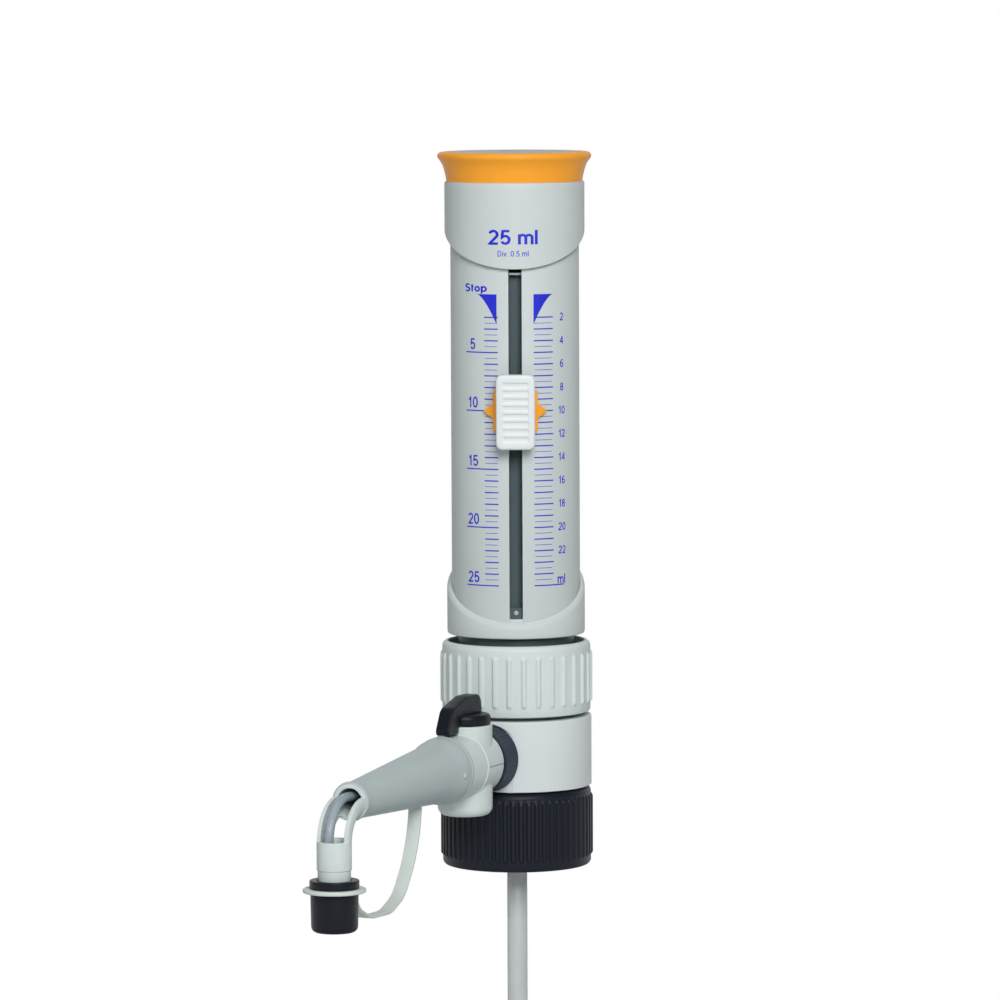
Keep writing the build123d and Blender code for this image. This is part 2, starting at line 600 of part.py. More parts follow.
def build_sleeve():
    """The sliding outer sleeve: slotted scale tube, foot collar, bush and head shell."""
    tube = ring(SLEEVE_BORE, SLEEVE_RADIUS, SLEEVE_BOTTOM, SLEEVE_TOP)
    half = SLOT_WIDTH / 2
    slot = block(-half, half, -SLEEVE_RADIUS - 1, 0, SLOT_BOTTOM, SLOT_TOP)
    parts["scale_sleeve"] = tube - slot

    blank_top = FOOT_LIP_FRONT + 2 * FOOT_RADIUS * LIP_RISE + 3
    foot_blank = turned(
        (JACKET_BASE_RADIUS + 0.4, FOOT_BOTTOM),
        (FOOT_RADIUS, FOOT_BOTTOM, 1.0),
        (FOOT_RADIUS, blank_top),
        (SLEEVE_RADIUS, blank_top),
        (SLEEVE_RADIUS, SLEEVE_BOTTOM),
        (JACKET_BASE_RADIUS + 0.4, SLEEVE_BOTTOM),
    )
    foot = foot_blank - lip_cut(SLEEVE_RADIUS, FOOT_LIP_FRONT)
    rim = foot.faces().filter_by(GeomType.PLANE).sort_by(Axis.Z)[-1]
    outer_edge = rim.edges().sort_by(SortBy.LENGTH)[-1]
    parts["foot_collar"] = chamfer(outer_edge, FOOT_LIP_ROUND)

    bush_bottom = SLEEVE_BOTTOM
    bush_top = SLEEVE_BOTTOM + BUSH_HEIGHT
    bush = ring(JACKET_RADIUS + RUNNING_GAP, SLEEVE_BORE, bush_bottom, bush_top)
    pin_z = bush_top - 1.8
    pin = Plane(origin=(0, -SLEEVE_BORE - 0.3, pin_z), z_dir=(0, 1, 0)) * rod(BUSH_PIN_RADIUS, 0, 2.4)
    parts["foot_bush"] = bush - pin
    parts["bush_pin"] = pin

    head = turned(
        (HEAD_HOLE_RADIUS, SLEEVE_TOP),
        (SLEEVE_RADIUS, SLEEVE_TOP),
        (SLEEVE_RADIUS, FOOT_LIP_FRONT),
        (HEAD_RADIUS, FOOT_LIP_FRONT),
        (HEAD_RADIUS, HEAD_TOP, 0.6),
        (HEAD_HOLE_RADIUS, HEAD_TOP),
    )
    head &= lip_cut(HEAD_RADIUS, HEAD_LIP_FRONT)
    rim = head.faces().filter_by(GeomType.PLANE).sort_by(Axis.Z)[0]
    outer_edge = rim.edges().sort_by(SortBy.LENGTH)[-1]
    head = chamfer(outer_edge, 0.4)
    screws = head_screws()
    parts["head_shell"] = head - screws
    parts["head_screws"] = Compound(children=screws)

    rack_count = round(STROKE / NOTCH_PITCH) + 3
    rack_bottom = SCALE_ZERO - STROKE - 1.5 * NOTCH_PITCH
    corners = [(RACK_END, rack_bottom)]
    tooth_half = (NOTCH_PITCH - RACK_NOTCH_HEIGHT) / 2
    notch_end = RACK_START + RACK_NOTCH_DEPTH
    for index in range(rack_count):
        base = rack_bottom + index * NOTCH_PITCH
        corners.append((RACK_START, base))
        corners.append((RACK_START, base + tooth_half))
        corners.append((notch_end, base + tooth_half))
        corners.append((notch_end, base + NOTCH_PITCH - tooth_half))
        corners.append((RACK_START, base + NOTCH_PITCH - tooth_half))
    rack_top = rack_bottom + rack_count * NOTCH_PITCH
    corners.append((RACK_START, rack_top))
    corners.append((RACK_END, rack_top))
    comb = extrude(Plane.XZ * make_face(Polyline(*corners, close=True)), SLEEVE_RADIUS)
    parts["volume_rack"] = comb & ring(RACK_INNER, SLEEVE_BORE, rack_bottom - 1, rack_top + 1)


def head_screws():
    """Countersunk screws that hold the plunger hub under the head's roof."""
    head_depth = HUB_SCREW_HEAD - HUB_SCREW_RADIUS
    screw = turned(
        (0, HUB_BOTTOM + 1.5),
        (HUB_SCREW_RADIUS, HUB_BOTTOM + 1.5),
        (HUB_SCREW_RADIUS, HEAD_TOP - head_depth),
        (HUB_SCREW_HEAD, HEAD_TOP),
        (0, HEAD_TOP),
    )
    return around(screw, HUB_SCREW_COUNT, HUB_SCREW_CIRCLE, 90)


def build_grip():
    """The flared grip ring and the grey disc in its top."""
    flare_top = GRIP_TOP - 1.5
    flare_knee = (GRIP_FOOT_RADIUS + 1.35, HEAD_TOP + 4.2)
    flare_end = (GRIP_RADIUS - 0.35, flare_top - 0.9)
    rim = (GRIP_RADIUS, flare_top + 0.1)
    rim_top = (GRIP_RADIUS - 0.6, GRIP_TOP - 0.4)
    recess = GRIP_TOP - DISC_RECESS
    profile = make_face(
        [
            Line((GRIP_BORE, HEAD_TOP), (GRIP_FOOT_RADIUS, HEAD_TOP)),
            ThreePointArc((GRIP_FOOT_RADIUS, HEAD_TOP), flare_knee, flare_end),
            ThreePointArc(flare_end, rim, rim_top),
            ThreePointArc(rim_top, (GRIP_RADIUS - 1.4, GRIP_TOP - 0.05), (GRIP_RADIUS - 2.2, GRIP_TOP)),
            Line((GRIP_RADIUS - 2.2, GRIP_TOP), (DISC_RADIUS + 0.1, GRIP_TOP)),
            Line((DISC_RADIUS + 0.1, GRIP_TOP), (DISC_RADIUS + 0.1, recess)),
            Line((DISC_RADIUS + 0.1, recess), (GRIP_BORE, recess)),
            Line((GRIP_BORE, recess), (GRIP_BORE, HEAD_TOP)),
        ]
    )
    parts["grip_ring"] = revolve(Plane.XZ * profile, axis=Axis.Z)

    crown = GRIP_TOP + DISC_DOME
    dome_radius = (DISC_RADIUS**2 + DISC_DOME**2) / (2 * DISC_DOME)
    dome = Pos(0, 0, crown - dome_radius) * Sphere(dome_radius)
    parts["top_disc"] = rod(DISC_RADIUS, recess, crown) & dome


def build_plunger():
    """Hub, rod and piston, which rise with the head."""
    boss_bottom = HUB_BOTTOM - HUB_BOSS_DEPTH
    hub = turned(
        (0, HUB_TOP),
        (HUB_RADIUS, HUB_TOP),
        (HUB_RADIUS, HUB_BOTTOM, 0.5),
        (HUB_BOSS_RADIUS, HUB_BOTTOM),
        (HUB_BOSS_RADIUS, boss_bottom, 0.5),
        (ROD_RADIUS, boss_bottom),
        (ROD_RADIUS, HUB_TOP - 2),
        (0, HUB_TOP - 2),
    )
    parts["plunger_hub"] = hub - head_screws()
    rod_bottom = PISTON_BOTTOM + PISTON_SKIN
    parts["plunger_rod"] = turned(
        (0, rod_bottom),
        (BARREL_BORE - PISTON_GAP - PISTON_SKIN, rod_bottom),
        (BARREL_BORE - PISTON_GAP - PISTON_SKIN, PISTON_TOP - 2),
        (ROD_RADIUS, PISTON_TOP),
        (ROD_RADIUS, HUB_TOP - 2),
        (0, HUB_TOP - 2),
    )
    skin = BARREL_BORE - PISTON_GAP
    parts["piston_seal"] = turned(
        (0, PISTON_BOTTOM),
        (skin, PISTON_BOTTOM, 0.8),
        (skin, PISTON_TOP - 2),
        (skin - PISTON_SKIN, PISTON_TOP - 2),
        (skin - PISTON_SKIN, rod_bottom),
        (0, rod_bottom),
    )


def build_selector():
    """Pointer plate, inner shoe with the stop tooth, pawl, button and its springs."""
    wide, high = POINTER_HALF_WIDTH, POINTER_HALF_HEIGHT
    tip, tip_half = POINTER_TIP, POINTER_TIP_HALF_HEIGHT
    plate = outline(
        (-wide, SET_Z - high, 1.2),
        (wide, SET_Z - high, 1.2),
        (wide, SET_Z - tip_half),
        (tip, SET_Z, 0.3),
        (wide, SET_Z + tip_half),
        (wide, SET_Z + high, 1.2),
        (-wide, SET_Z + high, 1.2),
        (-wide, SET_Z + tip_half),
        (-tip, SET_Z, 0.3),
        (-wide, SET_Z - tip_half),
    )
    plate = extrude(Plane.XZ * plate, 2 * SLEEVE_RADIUS)
    plate &= ring(POINTER_INNER, POINTER_OUTER, SELECTOR_LOW, SELECTOR_HIGH)
    boss_wide, boss_high = POINTER_BOSS_HALF_WIDTH, POINTER_BOSS_HALF_HEIGHT
    boss = block(
        -boss_wide, boss_wide, -POINTER_BOSS_TOP, -POINTER_INNER + 0.6, SET_Z - boss_high, SET_Z + boss_high
    )
    boss -= rod(POINTER_INNER, SELECTOR_LOW, SELECTOR_HIGH)

    stem_half = PAWL_STEM_HALF_WIDTH
    pawl_high = PAWL_HALF_HEIGHT
    stem_hole = block(
        -stem_half - RUNNING_GAP,
        stem_half + RUNNING_GAP,
        -POINTER_BOSS_TOP - 1,
        -SHOE_INNER,
        SET_Z - pawl_high - RUNNING_GAP,
        SET_Z + pawl_high + RUNNING_GAP,
    )
    post_inner = pawl_high + RUNNING_GAP + 0.5
    post_outer = POINTER_BOSS_HALF_HEIGHT - 0.7
    posts = [
        block(
            -POST_HALF_WIDTH,
            POST_HALF_WIDTH,
            -POINTER_BOSS_TOP + 0.6,
            -SHOE_OUTER + 0.3,
            SET_Z + side * post_inner if side > 0 else SET_Z - post_outer,
            SET_Z + post_outer if side > 0 else SET_Z - post_inner,
        )
        for side in (1, -1)
    ]
    parts["pointer_plate"] = plate + boss - stem_hole - posts

    shoe_left, shoe_right = -5.2, 2.3
    shoe_area = block(shoe_left, shoe_right, -SLEEVE_RADIUS, 0, SET_Z - SHOE_HALF_HEIGHT, TOOTH_TOP_Z)
    shoe = ring(SHOE_INNER, SHOE_OUTER, SELECTOR_LOW, SELECTOR_HIGH) & shoe_area
    pawl_room = block(
        -stem_half - RUNNING_GAP,
        shoe_right + 1,
        -SLEEVE_RADIUS - 1,
        0,
        SET_Z - pawl_high - RUNNING_GAP,
        SET_Z + pawl_high + RUNNING_GAP,
    )
    tooth_area = block(shoe_left, shoe_right, -SLEEVE_RADIUS, 0, TOOTH_TOP_Z - STOP_TOOTH_HEIGHT, TOOTH_TOP_Z)
    tooth = ring(STOP_TOOTH_INNER, SHOE_OUTER, SELECTOR_LOW, SELECTOR_HIGH) & tooth_area
    parts["selector_shoe"] = shoe - pawl_room + tooth + posts

    pawl_right = RACK_START + RACK_NOTCH_DEPTH - 0.3
    pawl_area = block(-stem_half, pawl_right, -SLEEVE_RADIUS, 0, SET_Z - pawl_high, SET_Z + pawl_high)
    pawl = ring(PAWL_INNER, PAWL_OUTER, SELECTOR_LOW, SELECTOR_HIGH) & pawl_area
    pawl += block(
        -stem_half, stem_half, -BUTTON_CEILING, -PAWL_OUTER + 0.5, SET_Z - pawl_high, SET_Z + pawl_high
    )
    lug_half = RACK_NOTCH_HEIGHT / 2 - 0.15
    for step in (-1, 0, 1):
        centre = SET_Z + step * NOTCH_PITCH
        area = block(RACK_START + 0.1, pawl_right, -SLEEVE_RADIUS, 0, centre - lug_half, centre + lug_half)
        pawl += ring(PAWL_OUTER - 0.3, SLEEVE_BORE - 0.25, SELECTOR_LOW, SELECTOR_HIGH) & area
    parts["selector_pawl"] = pawl

    face = BUTTON_UNDERSIDE + BUTTON_THICKNESS
    half_wide, half_high = BUTTON_WIDTH / 2, BUTTON_HEIGHT / 2
    shape = outline(
        (-half_wide, SET_Z - half_high, BUTTON_CORNER),
        (half_wide, SET_Z - half_high, BUTTON_CORNER),
        (half_wide, SET_Z + half_high, BUTTON_CORNER),
        (-half_wide, SET_Z + half_high, BUTTON_CORNER),
    )
    button = Pos(0, -BUTTON_UNDERSIDE, 0) * extrude(Plane.XZ * shape, BUTTON_THICKNESS)
    front = button.faces().sort_by(Axis.Y)[0]
    button = fillet(front.edges(), 0.9)
    hollow_wide = half_wide - BUTTON_WALL
    hollow_high = half_high - BUTTON_WALL
    button -= block(
        -hollow_wide, hollow_wide, -BUTTON_CEILING, 0, SET_Z - hollow_high, SET_Z + hollow_high
    )
    groove_half = BUTTON_GROOVE_PITCH / 2 - 0.35
    first = -(BUTTON_GROOVES - 1) / 2 * BUTTON_GROOVE_PITCH
    for index in range(BUTTON_GROOVES):
        centre = SET_Z + first + index * BUTTON_GROOVE_PITCH
        button -= block(
            -BUTTON_GROOVE_WIDTH / 2,
            BUTTON_GROOVE_WIDTH / 2,
            -face - 1,
            -face + BUTTON_GROOVE_DEPTH,
            centre - groove_half,
            centre + groove_half,
        )
    parts["selector_button"] = button

    spring_span = POINTER_BOSS_HALF_WIDTH - 0.3
    bow = BUTTON_CEILING - POINTER_BOSS_TOP - 0.3
    low, high_y = -POINTER_BOSS_TOP, -POINTER_BOSS_TOP - bow
    leaf = make_face(
        [
            ThreePointArc((-spring_span, low), (0, high_y), (spring_span, low)),
            Line((spring_span, low), (spring_span, low - 0.3)),
            ThreePointArc((spring_span, low - 0.3), (0, high_y - 0.3), (-spring_span, low - 0.3)),
            Line((-spring_span, low - 0.3), (-spring_span, low)),
        ]
    )
    leaf = extrude(leaf, 2.0)
    springs = [Pos(0, 0, SET_Z + 3.4) * leaf, Pos(0, 0, SET_Z - 5.4) * leaf]
    parts["selector_springs"] = Compound(children=springs)


def build_outlet():
    """Outlet valve, its ball and spring, the seal and the ring nut."""
    cavity_start = OUTLET_START + 3.7
    ball_at = cavity_start + sqrt(OUTLET_BALL_RADIUS**2 - VALVE_SEAT_BORE**2) + 0.03
    cavity_end = OUTLET_END - 1.5
    body = turned(
        (VALVE_SEAT_BORE, OUTLET_START),
        (OUTLET_RADIUS, OUTLET_START),
        (OUTLET_RADIUS, BLOCK_RADIUS - OUTLET_NECK_SINK),
        (OUTLET_NECK_RADIUS, BLOCK_RADIUS - OUTLET_NECK_SINK),
        (OUTLET_NECK_RADIUS, OUTLET_END, 0.3),
        (VALVE_SEAT_BORE, OUTLET_END),
        (VALVE_SEAT_BORE, cavity_end),
        (VALVE_CAVITY_RADIUS, cavity_end),
        (VALVE_CAVITY_RADIUS, cavity_start),
        (VALVE_SEAT_BORE, cavity_start),
    )
    parts["outlet_valve"] = ON_SPOUT * body
    parts["outlet_ball"] = ON_SPOUT * Pos(0, 0, ball_at) * Sphere(OUTLET_BALL_RADIUS)
    spring_start = ball_at + OUTLET_BALL_RADIUS * 0.75
    wire = 0.25
    coil_radius = 1.95
    spring = spring_rings(coil_radius, wire, spring_start + wire, cavity_end - wire, 4)
    parts["outlet_spring"] = ON_SPOUT * spring
    parts["outlet_seal"] = ON_SPOUT * ring(VALVE_SEAT_BORE, TAIL_FLANGE_RADIUS, OUTLET_END, TAIL_START)

    groove = Pos(NUT_RADIUS, 0, 0) * rod(NUT_GROOVE_DEPTH, NUT_START - 1, NUT_END + 1)
    lip_start = NUT_END - NUT_LIP
    nut = turned(
        (OUTLET_NECK_RADIUS + RUNNING_GAP, NUT_START),
        (NUT_RADIUS, NUT_START, 0.6),
        (NUT_RADIUS, NUT_END, 0.6),
        (TAIL_RADIUS + RUNNING_GAP, NUT_END),
        (TAIL_RADIUS + RUNNING_GAP, lip_start),
        (OUTLET_NECK_RADIUS + RUNNING_GAP, lip_start),
    )
    parts["jet_nut"] = ON_SPOUT * (nut - around(groove, NUT_GROOVE_COUNT))


def spring_rings(radius, wire, start, end, turns):
    """A coil spring about Z, with a flat-sided wire."""
    pitch = (end - start) / turns
    path = Pos(0, 0, start) * Helix(pitch, end - start, radius)
    section = Plane(origin=path @ 0, z_dir=path % 0) * Rectangle(2 * wire, 2 * wire)
    return sweep(section, path, is_frenet=True)


def build_stopcock():
    """Stopcock body on the spout's axis, with its upright key, knob and lever."""
    tap = turned(
        (0, TAP_BOTTOM),
        (TAP_RADIUS, TAP_BOTTOM, TAP_ROUND),
        (TAP_RADIUS, TAP_TOP, 0.4),
        (0, TAP_TOP),
    )
    tap = Pos(SPOUT_DIRECTION * TAP_AT) * tap
    tap -= ON_SPOUT * rod(NUT_RADIUS + RUNNING_GAP, NUT_START, TUBE_START)
    flange_end = NUT_END - NUT_LIP - RUNNING_GAP
    groove_half = TUBE_GROOVE_WIDTH / 2
    tube = turned(
        (0, TAIL_START),
        (TAIL_FLANGE_RADIUS, TAIL_START),
        (TAIL_FLANGE_RADIUS, flange_end),
        (TAIL_RADIUS, flange_end),
        (TAIL_RADIUS, TUBE_START),
        (TUBE_RADIUS, TUBE_START, 1.2),
        (TUBE_RADIUS, TUBE_GROOVE_AT - groove_half),
        (TUBE_RADIUS - TUBE_GROOVE_DEPTH, TUBE_GROOVE_AT - groove_half),
        (TUBE_RADIUS - TUBE_GROOVE_DEPTH, TUBE_GROOVE_AT + groove_half),
        (TUBE_RADIUS, TUBE_GROOVE_AT + groove_half),
        (TUBE_RADIUS - 0.4, TUBE_END),
        (NOSE_RADIUS, TUBE_END),
        (NOSE_RADIUS, TUBE_END + NOSE_LENGTH),
        (0, TUBE_END + NOSE_LENGTH),
    )
    body = ON_SPOUT * tube + tap
    key_place = Pos(SPOUT_DIRECTION * TAP_AT)
    body -= key_place * rod(KEY_RADIUS + KEY_GAP, KEY_BOTTOM - RUNNING_GAP, TAP_TOP + 1)
    body -= ON_SPOUT * rod(KEY_BORE, TAIL_START - 1, TUBE_END + NOSE_LENGTH - 6)
    body -= ON_SPOUT * rod(JET_TUBE_RADIUS, TUBE_END - 3, TUBE_END + NOSE_LENGTH + 1)
    parts["stopcock_body"] = body

    key = turned(
        (0, KEY_BOTTOM),
        (KEY_RADIUS, KEY_BOTTOM, 0.5),
        (KEY_RADIUS, KNOB_BOTTOM),
        (0, KNOB_BOTTOM),
    )
    stem_half = KEY_RADIUS * 0.55
    key += block(-stem_half, stem_half, -stem_half, stem_half, KNOB_BOTTOM, KNOB_TOP)
    turn = Rot(0, 0, SPOUT_ANGLE)
    key = key_place * turn * key
    key -= ON_SPOUT * rod(KEY_BORE, TAP_AT - TAP_RADIUS, TAP_AT + TAP_RADIUS)
    parts["stopcock_key"] = key

    disc = turned(
        (0, KNOB_BOTTOM),
        (KNOB_RADIUS, KNOB_BOTTOM, 0.4),
        (KNOB_RADIUS, KNOB_TOP, 1.4),
        (0, KNOB_TOP),
    )
    lever_low = SPOUT_Z + TUBE_RADIUS + LEVER_CLEARANCE - 0.2
    neck = TAP_RADIUS + 0.5
    lever = outline(
        (-5.8, KNOB_BOTTOM + 1),
        (-5.4, LEVER_TOP, 2.2),
        (4.6, LEVER_TOP - 0.2, 6.0),
        (LEVER_REACH - 3.6, KNOB_TOP + 0.9, 8.0),
        (LEVER_REACH, lever_low + 1.6, 1.2),
        (LEVER_REACH - 0.6, lever_low, 0.5),
        (neck + 0.6, lever_low, 0.5),
        (neck, KNOB_BOTTOM + 0.6),
    )
    lever = extrude(Plane.XZ * lever, LEVER_THICKNESS / 2, both=True)
    edges = lever.edges().filter_by(Axis.Y, reverse=True)
    lever = fillet(edges, 0.8)
    knob = key_place * turn * (disc + lever)
    parts["stopcock_knob"] = knob - key


def build_jet():
    """Tapered shroud, open elbow with its nozzle, and the thin jet tube inside."""
    drop = SHROUD_END_Z - SPOUT_Z
    start = ON_SPOUT * Pos(0, 0, TUBE_END + 0.2)
    end = ON_SPOUT * Pos(drop, 0, SHROUD_END)
    outer = loft([start * Circle(SHROUD_RADIUS), end * Circle(SHROUD_END_RADIUS)], ruled=True)
    inner = loft(
        [start * Circle(SHROUD_RADIUS - SHROUD_WALL), end * Circle(SHROUD_END_RADIUS - SHROUD_WALL)],
        ruled=True,
    )
    socket = ON_SPOUT * rod(NOSE_RADIUS, TUBE_END - 1, TUBE_END + NOSE_LENGTH)
    shroud = outer - inner - socket
    lip_outer = SHROUD_END_RADIUS + 0.5
    lip = ON_SPOUT * Pos(drop, 0, 0) * ring(
        SHROUD_END_RADIUS - SHROUD_WALL - 0.05, lip_outer, SHROUD_END - 0.2, SHROUD_END + SHROUD_LIP
    )
    shroud += lip
    anchor_z = shroud_bottom(STRAP_ANCHOR_AT)
    boss = outline(
        (STRAP_ANCHOR_AT - 3.2, anchor_z + 0.9),
        (STRAP_ANCHOR_AT + 3.2, anchor_z + 0.9),
        (STRAP_ANCHOR_AT + 2.4, anchor_z - 0.8),
        (STRAP_ANCHOR_AT - 2.4, anchor_z - 0.8),
    )
    boss = extrude(SPOUT_SIDE * boss, STRAP_WIDTH / 2 + 1.0, both=True)
    shroud += boss - outer
    parts["jet_shroud"] = shroud - strap_band()

    path = elbow_path(ELBOW_START, ELBOW_BEND, NOZZLE_AT, SHROUD_END_Z, SHROUD_END - 4)
    section = ON_SPOUT * Pos(drop, 0, SHROUD_END - 4)
    pipe = sweep(section * Circle(ELBOW_RADIUS), path) - sweep(
        section * Circle(ELBOW_RADIUS - ELBOW_WALL), path
    )
    nozzle_place = Pos(SPOUT_DIRECTION * NOZZLE_AT)
    bend_end_z = SHROUD_END_Z - ELBOW_BEND
    nozzle = turned(
        (JET_TUBE_RADIUS + 1.0, NOZZLE_END_Z),
        (NOZZLE_RADIUS, NOZZLE_END_Z, 0.4),
        (NOZZLE_RADIUS, NOZZLE_STEP_Z),
        (ELBOW_RADIUS, NOZZLE_STEP_Z + 0.3),
        (ELBOW_RADIUS, bend_end_z),
        (ELBOW_RADIUS - ELBOW_WALL, bend_end_z),
        (ELBOW_RADIUS - ELBOW_WALL, NOZZLE_END_Z + 3),
        (JET_TUBE_RADIUS + 1.0, NOZZLE_END_Z + 3),
    )
    elbow = pipe + nozzle_place * nozzle
    elbow &= ON_SPOUT * Pos(0, 0, SHROUD_END - 3.5 + NOZZLE_AT) * Box(*[2 * NOZZLE_AT] * 3)
    elbow -= window_cut()
    seat = ON_SPOUT * Pos(drop, 0, 0) * rod(ELBOW_RADIUS + 0.1, SHROUD_END - 4, SHROUD_END + SHROUD_LIP)
    parts["jet_shroud"] = parts["jet_shroud"] - seat
    parts["jet_elbow"] = elbow

    tube_path = elbow_path(JET_TUBE_AT - JET_TUBE_BEND, JET_TUBE_BEND, JET_TUBE_AT, SPOUT_Z, TUBE_END - 3)
    tube_path = tube_path + Line(
        spout_point(JET_TUBE_AT, SPOUT_Z - JET_TUBE_BEND), spout_point(JET_TUBE_AT, JET_TUBE_END_Z)
    )
    section = ON_SPOUT * Pos(0, 0, TUBE_END - 3)
    tube = sweep(section * Circle(JET_TUBE_RADIUS), tube_path)
    bore = sweep(section * Circle(JET_TUBE_BORE), tube_path)
    parts["jet_tube"] = tube - bore
    parts["jet_elbow"] = parts["jet_elbow"] - tube


def spout_point(along, height):
    """A point in the spout's vertical plane."""
    return SPOUT_DIRECTION * along + Vector(0, 0, height)


def elbow_path(bend_start, bend, down_at, height, start):
    """A level run that turns down through a quarter circle."""
    middle = 1 - sqrt(0.5)
    level = Line(spout_point(start, height), spout_point(bend_start, height))
    turn = ThreePointArc(
        spout_point(bend_start, height),
        spout_point(down_at - bend * middle, height - bend * middle),
        spout_point(down_at, height - bend),
    )
    return level + turn


def window_cut():
    """The open outer side of the elbow, and the slot through its floor."""
    bend_centre = (ELBOW_START, SHROUD_END_Z - ELBOW_BEND)
    cut_radius = ELBOW_BEND + 1.6
    far = NOZZLE_AT + 3 * ELBOW_RADIUS
    top = SHROUD_END_Z + 3 * ELBOW_RADIUS
    mouth = SHROUD_END + SHROUD_LIP + 0.3
    start_z = bend_centre[1] + sqrt(cut_radius**2 - (mouth - bend_centre[0]) ** 2)
    outside = bend_centre[0] + cut_radius
    middle = cut_radius * sqrt(0.5)
    side_view = make_face(
        [
            Line((mouth, top), (far, top)),
            Line((far, top), (far, WINDOW_BOTTOM)),
            Line((far, WINDOW_BOTTOM), (outside, WINDOW_BOTTOM)),
            Line((outside, WINDOW_BOTTOM), (outside, bend_centre[1])),
            ThreePointArc(
                (outside, bend_centre[1]),
                (bend_centre[0] + middle, bend_centre[1] + middle),
                (mouth, start_z),
            ),
            Line((mouth, start_z), (mouth, top)),
        ]
    )
    return extrude(SPOUT_SIDE * side_view, 3 * ELBOW_RADIUS, both=True)


def shroud_bottom(along):
    """Height of the shroud's underside at this distance along the spout."""
    share = (along - TUBE_END) / (SHROUD_END - TUBE_END)
    centre = SPOUT_Z + share * (SHROUD_END_Z - SPOUT_Z)
    return centre - SHROUD_RADIUS + share * (SHROUD_RADIUS - SHROUD_END_RADIUS)


def strap_band():
    """The flat band from the shroud's underside down and out to the ring on the cap."""
    ring_back = NOZZLE_AT - STRAP_RING_RADIUS + 0.6
    anchor_z = shroud_bottom(STRAP_ANCHOR_AT)
    points = [
        (STRAP_ANCHOR_AT, anchor_z + 0.2),
        (STRAP_ANCHOR_AT + 1.4, anchor_z - 9),
        (STRAP_ANCHOR_AT + 6.5, 10.8),
        (STRAP_ANCHOR_AT + 14.0, STRAP_LOW_Z + 3.2),
        (STRAP_ANCHOR_AT + 24.0, STRAP_LOW_Z - 0.6),
        (ring_back - 14.0, STRAP_LOW_Z - 0.2),
        (ring_back - 4.6, STRAP_RING_Z - 8.2),
        (ring_back, STRAP_RING_Z),
    ]
    flat = [spout_point(*point) for point in points]
    radii = [40, 30, 14, 14, 14, 9]
    path = FilletPolyline(*flat, radius=radii)
    section = Plane(origin=path @ 0, x_dir=SPOUT_LEFT, z_dir=path % 0)
    return sweep(section * Rectangle(STRAP_WIDTH, STRAP_THICKNESS), path)


def build_cap():
    """The black nozzle cap with its strap ring and strap."""
    ring_low = STRAP_RING_Z - STRAP_RING_THICKNESS / 2
    ring_high = STRAP_RING_Z + STRAP_RING_THICKNESS / 2
    groove = CAP_RADIUS - CAP_GROOVE_DEPTH
    cap = turned(
        (0, CAP_BOTTOM),
        (CAP_RADIUS - 0.25, CAP_BOTTOM, CAP_ROUND),
        (CAP_RADIUS, ring_low),
        (groove, ring_low),
        (groove, ring_high),
        (CAP_RIM_RADIUS, ring_high, 0.3),
        (CAP_RIM_RADIUS, CAP_TOP, 0.3),
        (NOZZLE_RADIUS + RUNNING_GAP, CAP_TOP, 0.3),
        (NOZZLE_RADIUS + RUNNING_GAP, CAP_BOTTOM + CAP_FLOOR),
        (0, CAP_BOTTOM + CAP_FLOOR),
    )
    place = Pos(SPOUT_DIRECTION * NOZZLE_AT)
    parts["nozzle_cap"] = place * cap
    collar = turned(
        (groove, ring_low),
        (STRAP_RING_RADIUS, ring_low, 0.3),
        (STRAP_RING_RADIUS, ring_high, 0.3),
        (groove, ring_high),
    )
    parts["strap_ring"] = place * collar
    parts["cap_strap"] = strap_band() - parts["strap_ring"] - parts["jet_shroud"]


parts = {}
build_valve_block(build_collar())
build_inlet()
build_locking_ring()
build_barrel()
build_sleeve()
build_grip()
build_plunger()
build_selector()
build_outlet()
build_stopcock()
build_jet()
build_cap()

os.makedirs("parts", exist_ok=True)
for name, shape in parts.items():
    export_step(shape, f"parts/{name}.step")
print(len(parts), "parts written")
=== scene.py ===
"""Looks of a bottle-top dispenser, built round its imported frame. Lengths in profiles are millimetres."""

import math

import bmesh
import bpy
from mathutils import Matrix, Vector


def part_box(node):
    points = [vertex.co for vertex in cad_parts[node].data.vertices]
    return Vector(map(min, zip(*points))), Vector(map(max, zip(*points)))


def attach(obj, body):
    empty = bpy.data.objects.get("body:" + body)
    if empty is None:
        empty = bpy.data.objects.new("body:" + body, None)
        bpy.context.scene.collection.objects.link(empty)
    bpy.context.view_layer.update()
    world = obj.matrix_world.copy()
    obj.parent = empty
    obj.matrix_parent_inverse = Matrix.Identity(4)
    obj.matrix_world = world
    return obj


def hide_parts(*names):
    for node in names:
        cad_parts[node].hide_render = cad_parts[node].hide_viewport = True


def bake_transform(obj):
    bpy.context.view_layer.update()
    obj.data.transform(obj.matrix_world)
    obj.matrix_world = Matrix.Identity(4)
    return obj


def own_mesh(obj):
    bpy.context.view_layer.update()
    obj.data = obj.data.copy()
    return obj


bl_info = {
    "name": "Bottle-top dispenser",
    "version": (1, 0, 0),
    "blender": (4, 5, 0),
    "location": "3D View > Sidebar > Dispenser",
    "description": "Builds the looks of a bottle-top dispenser round its packed frame",
    "category": "Add Mesh",
}

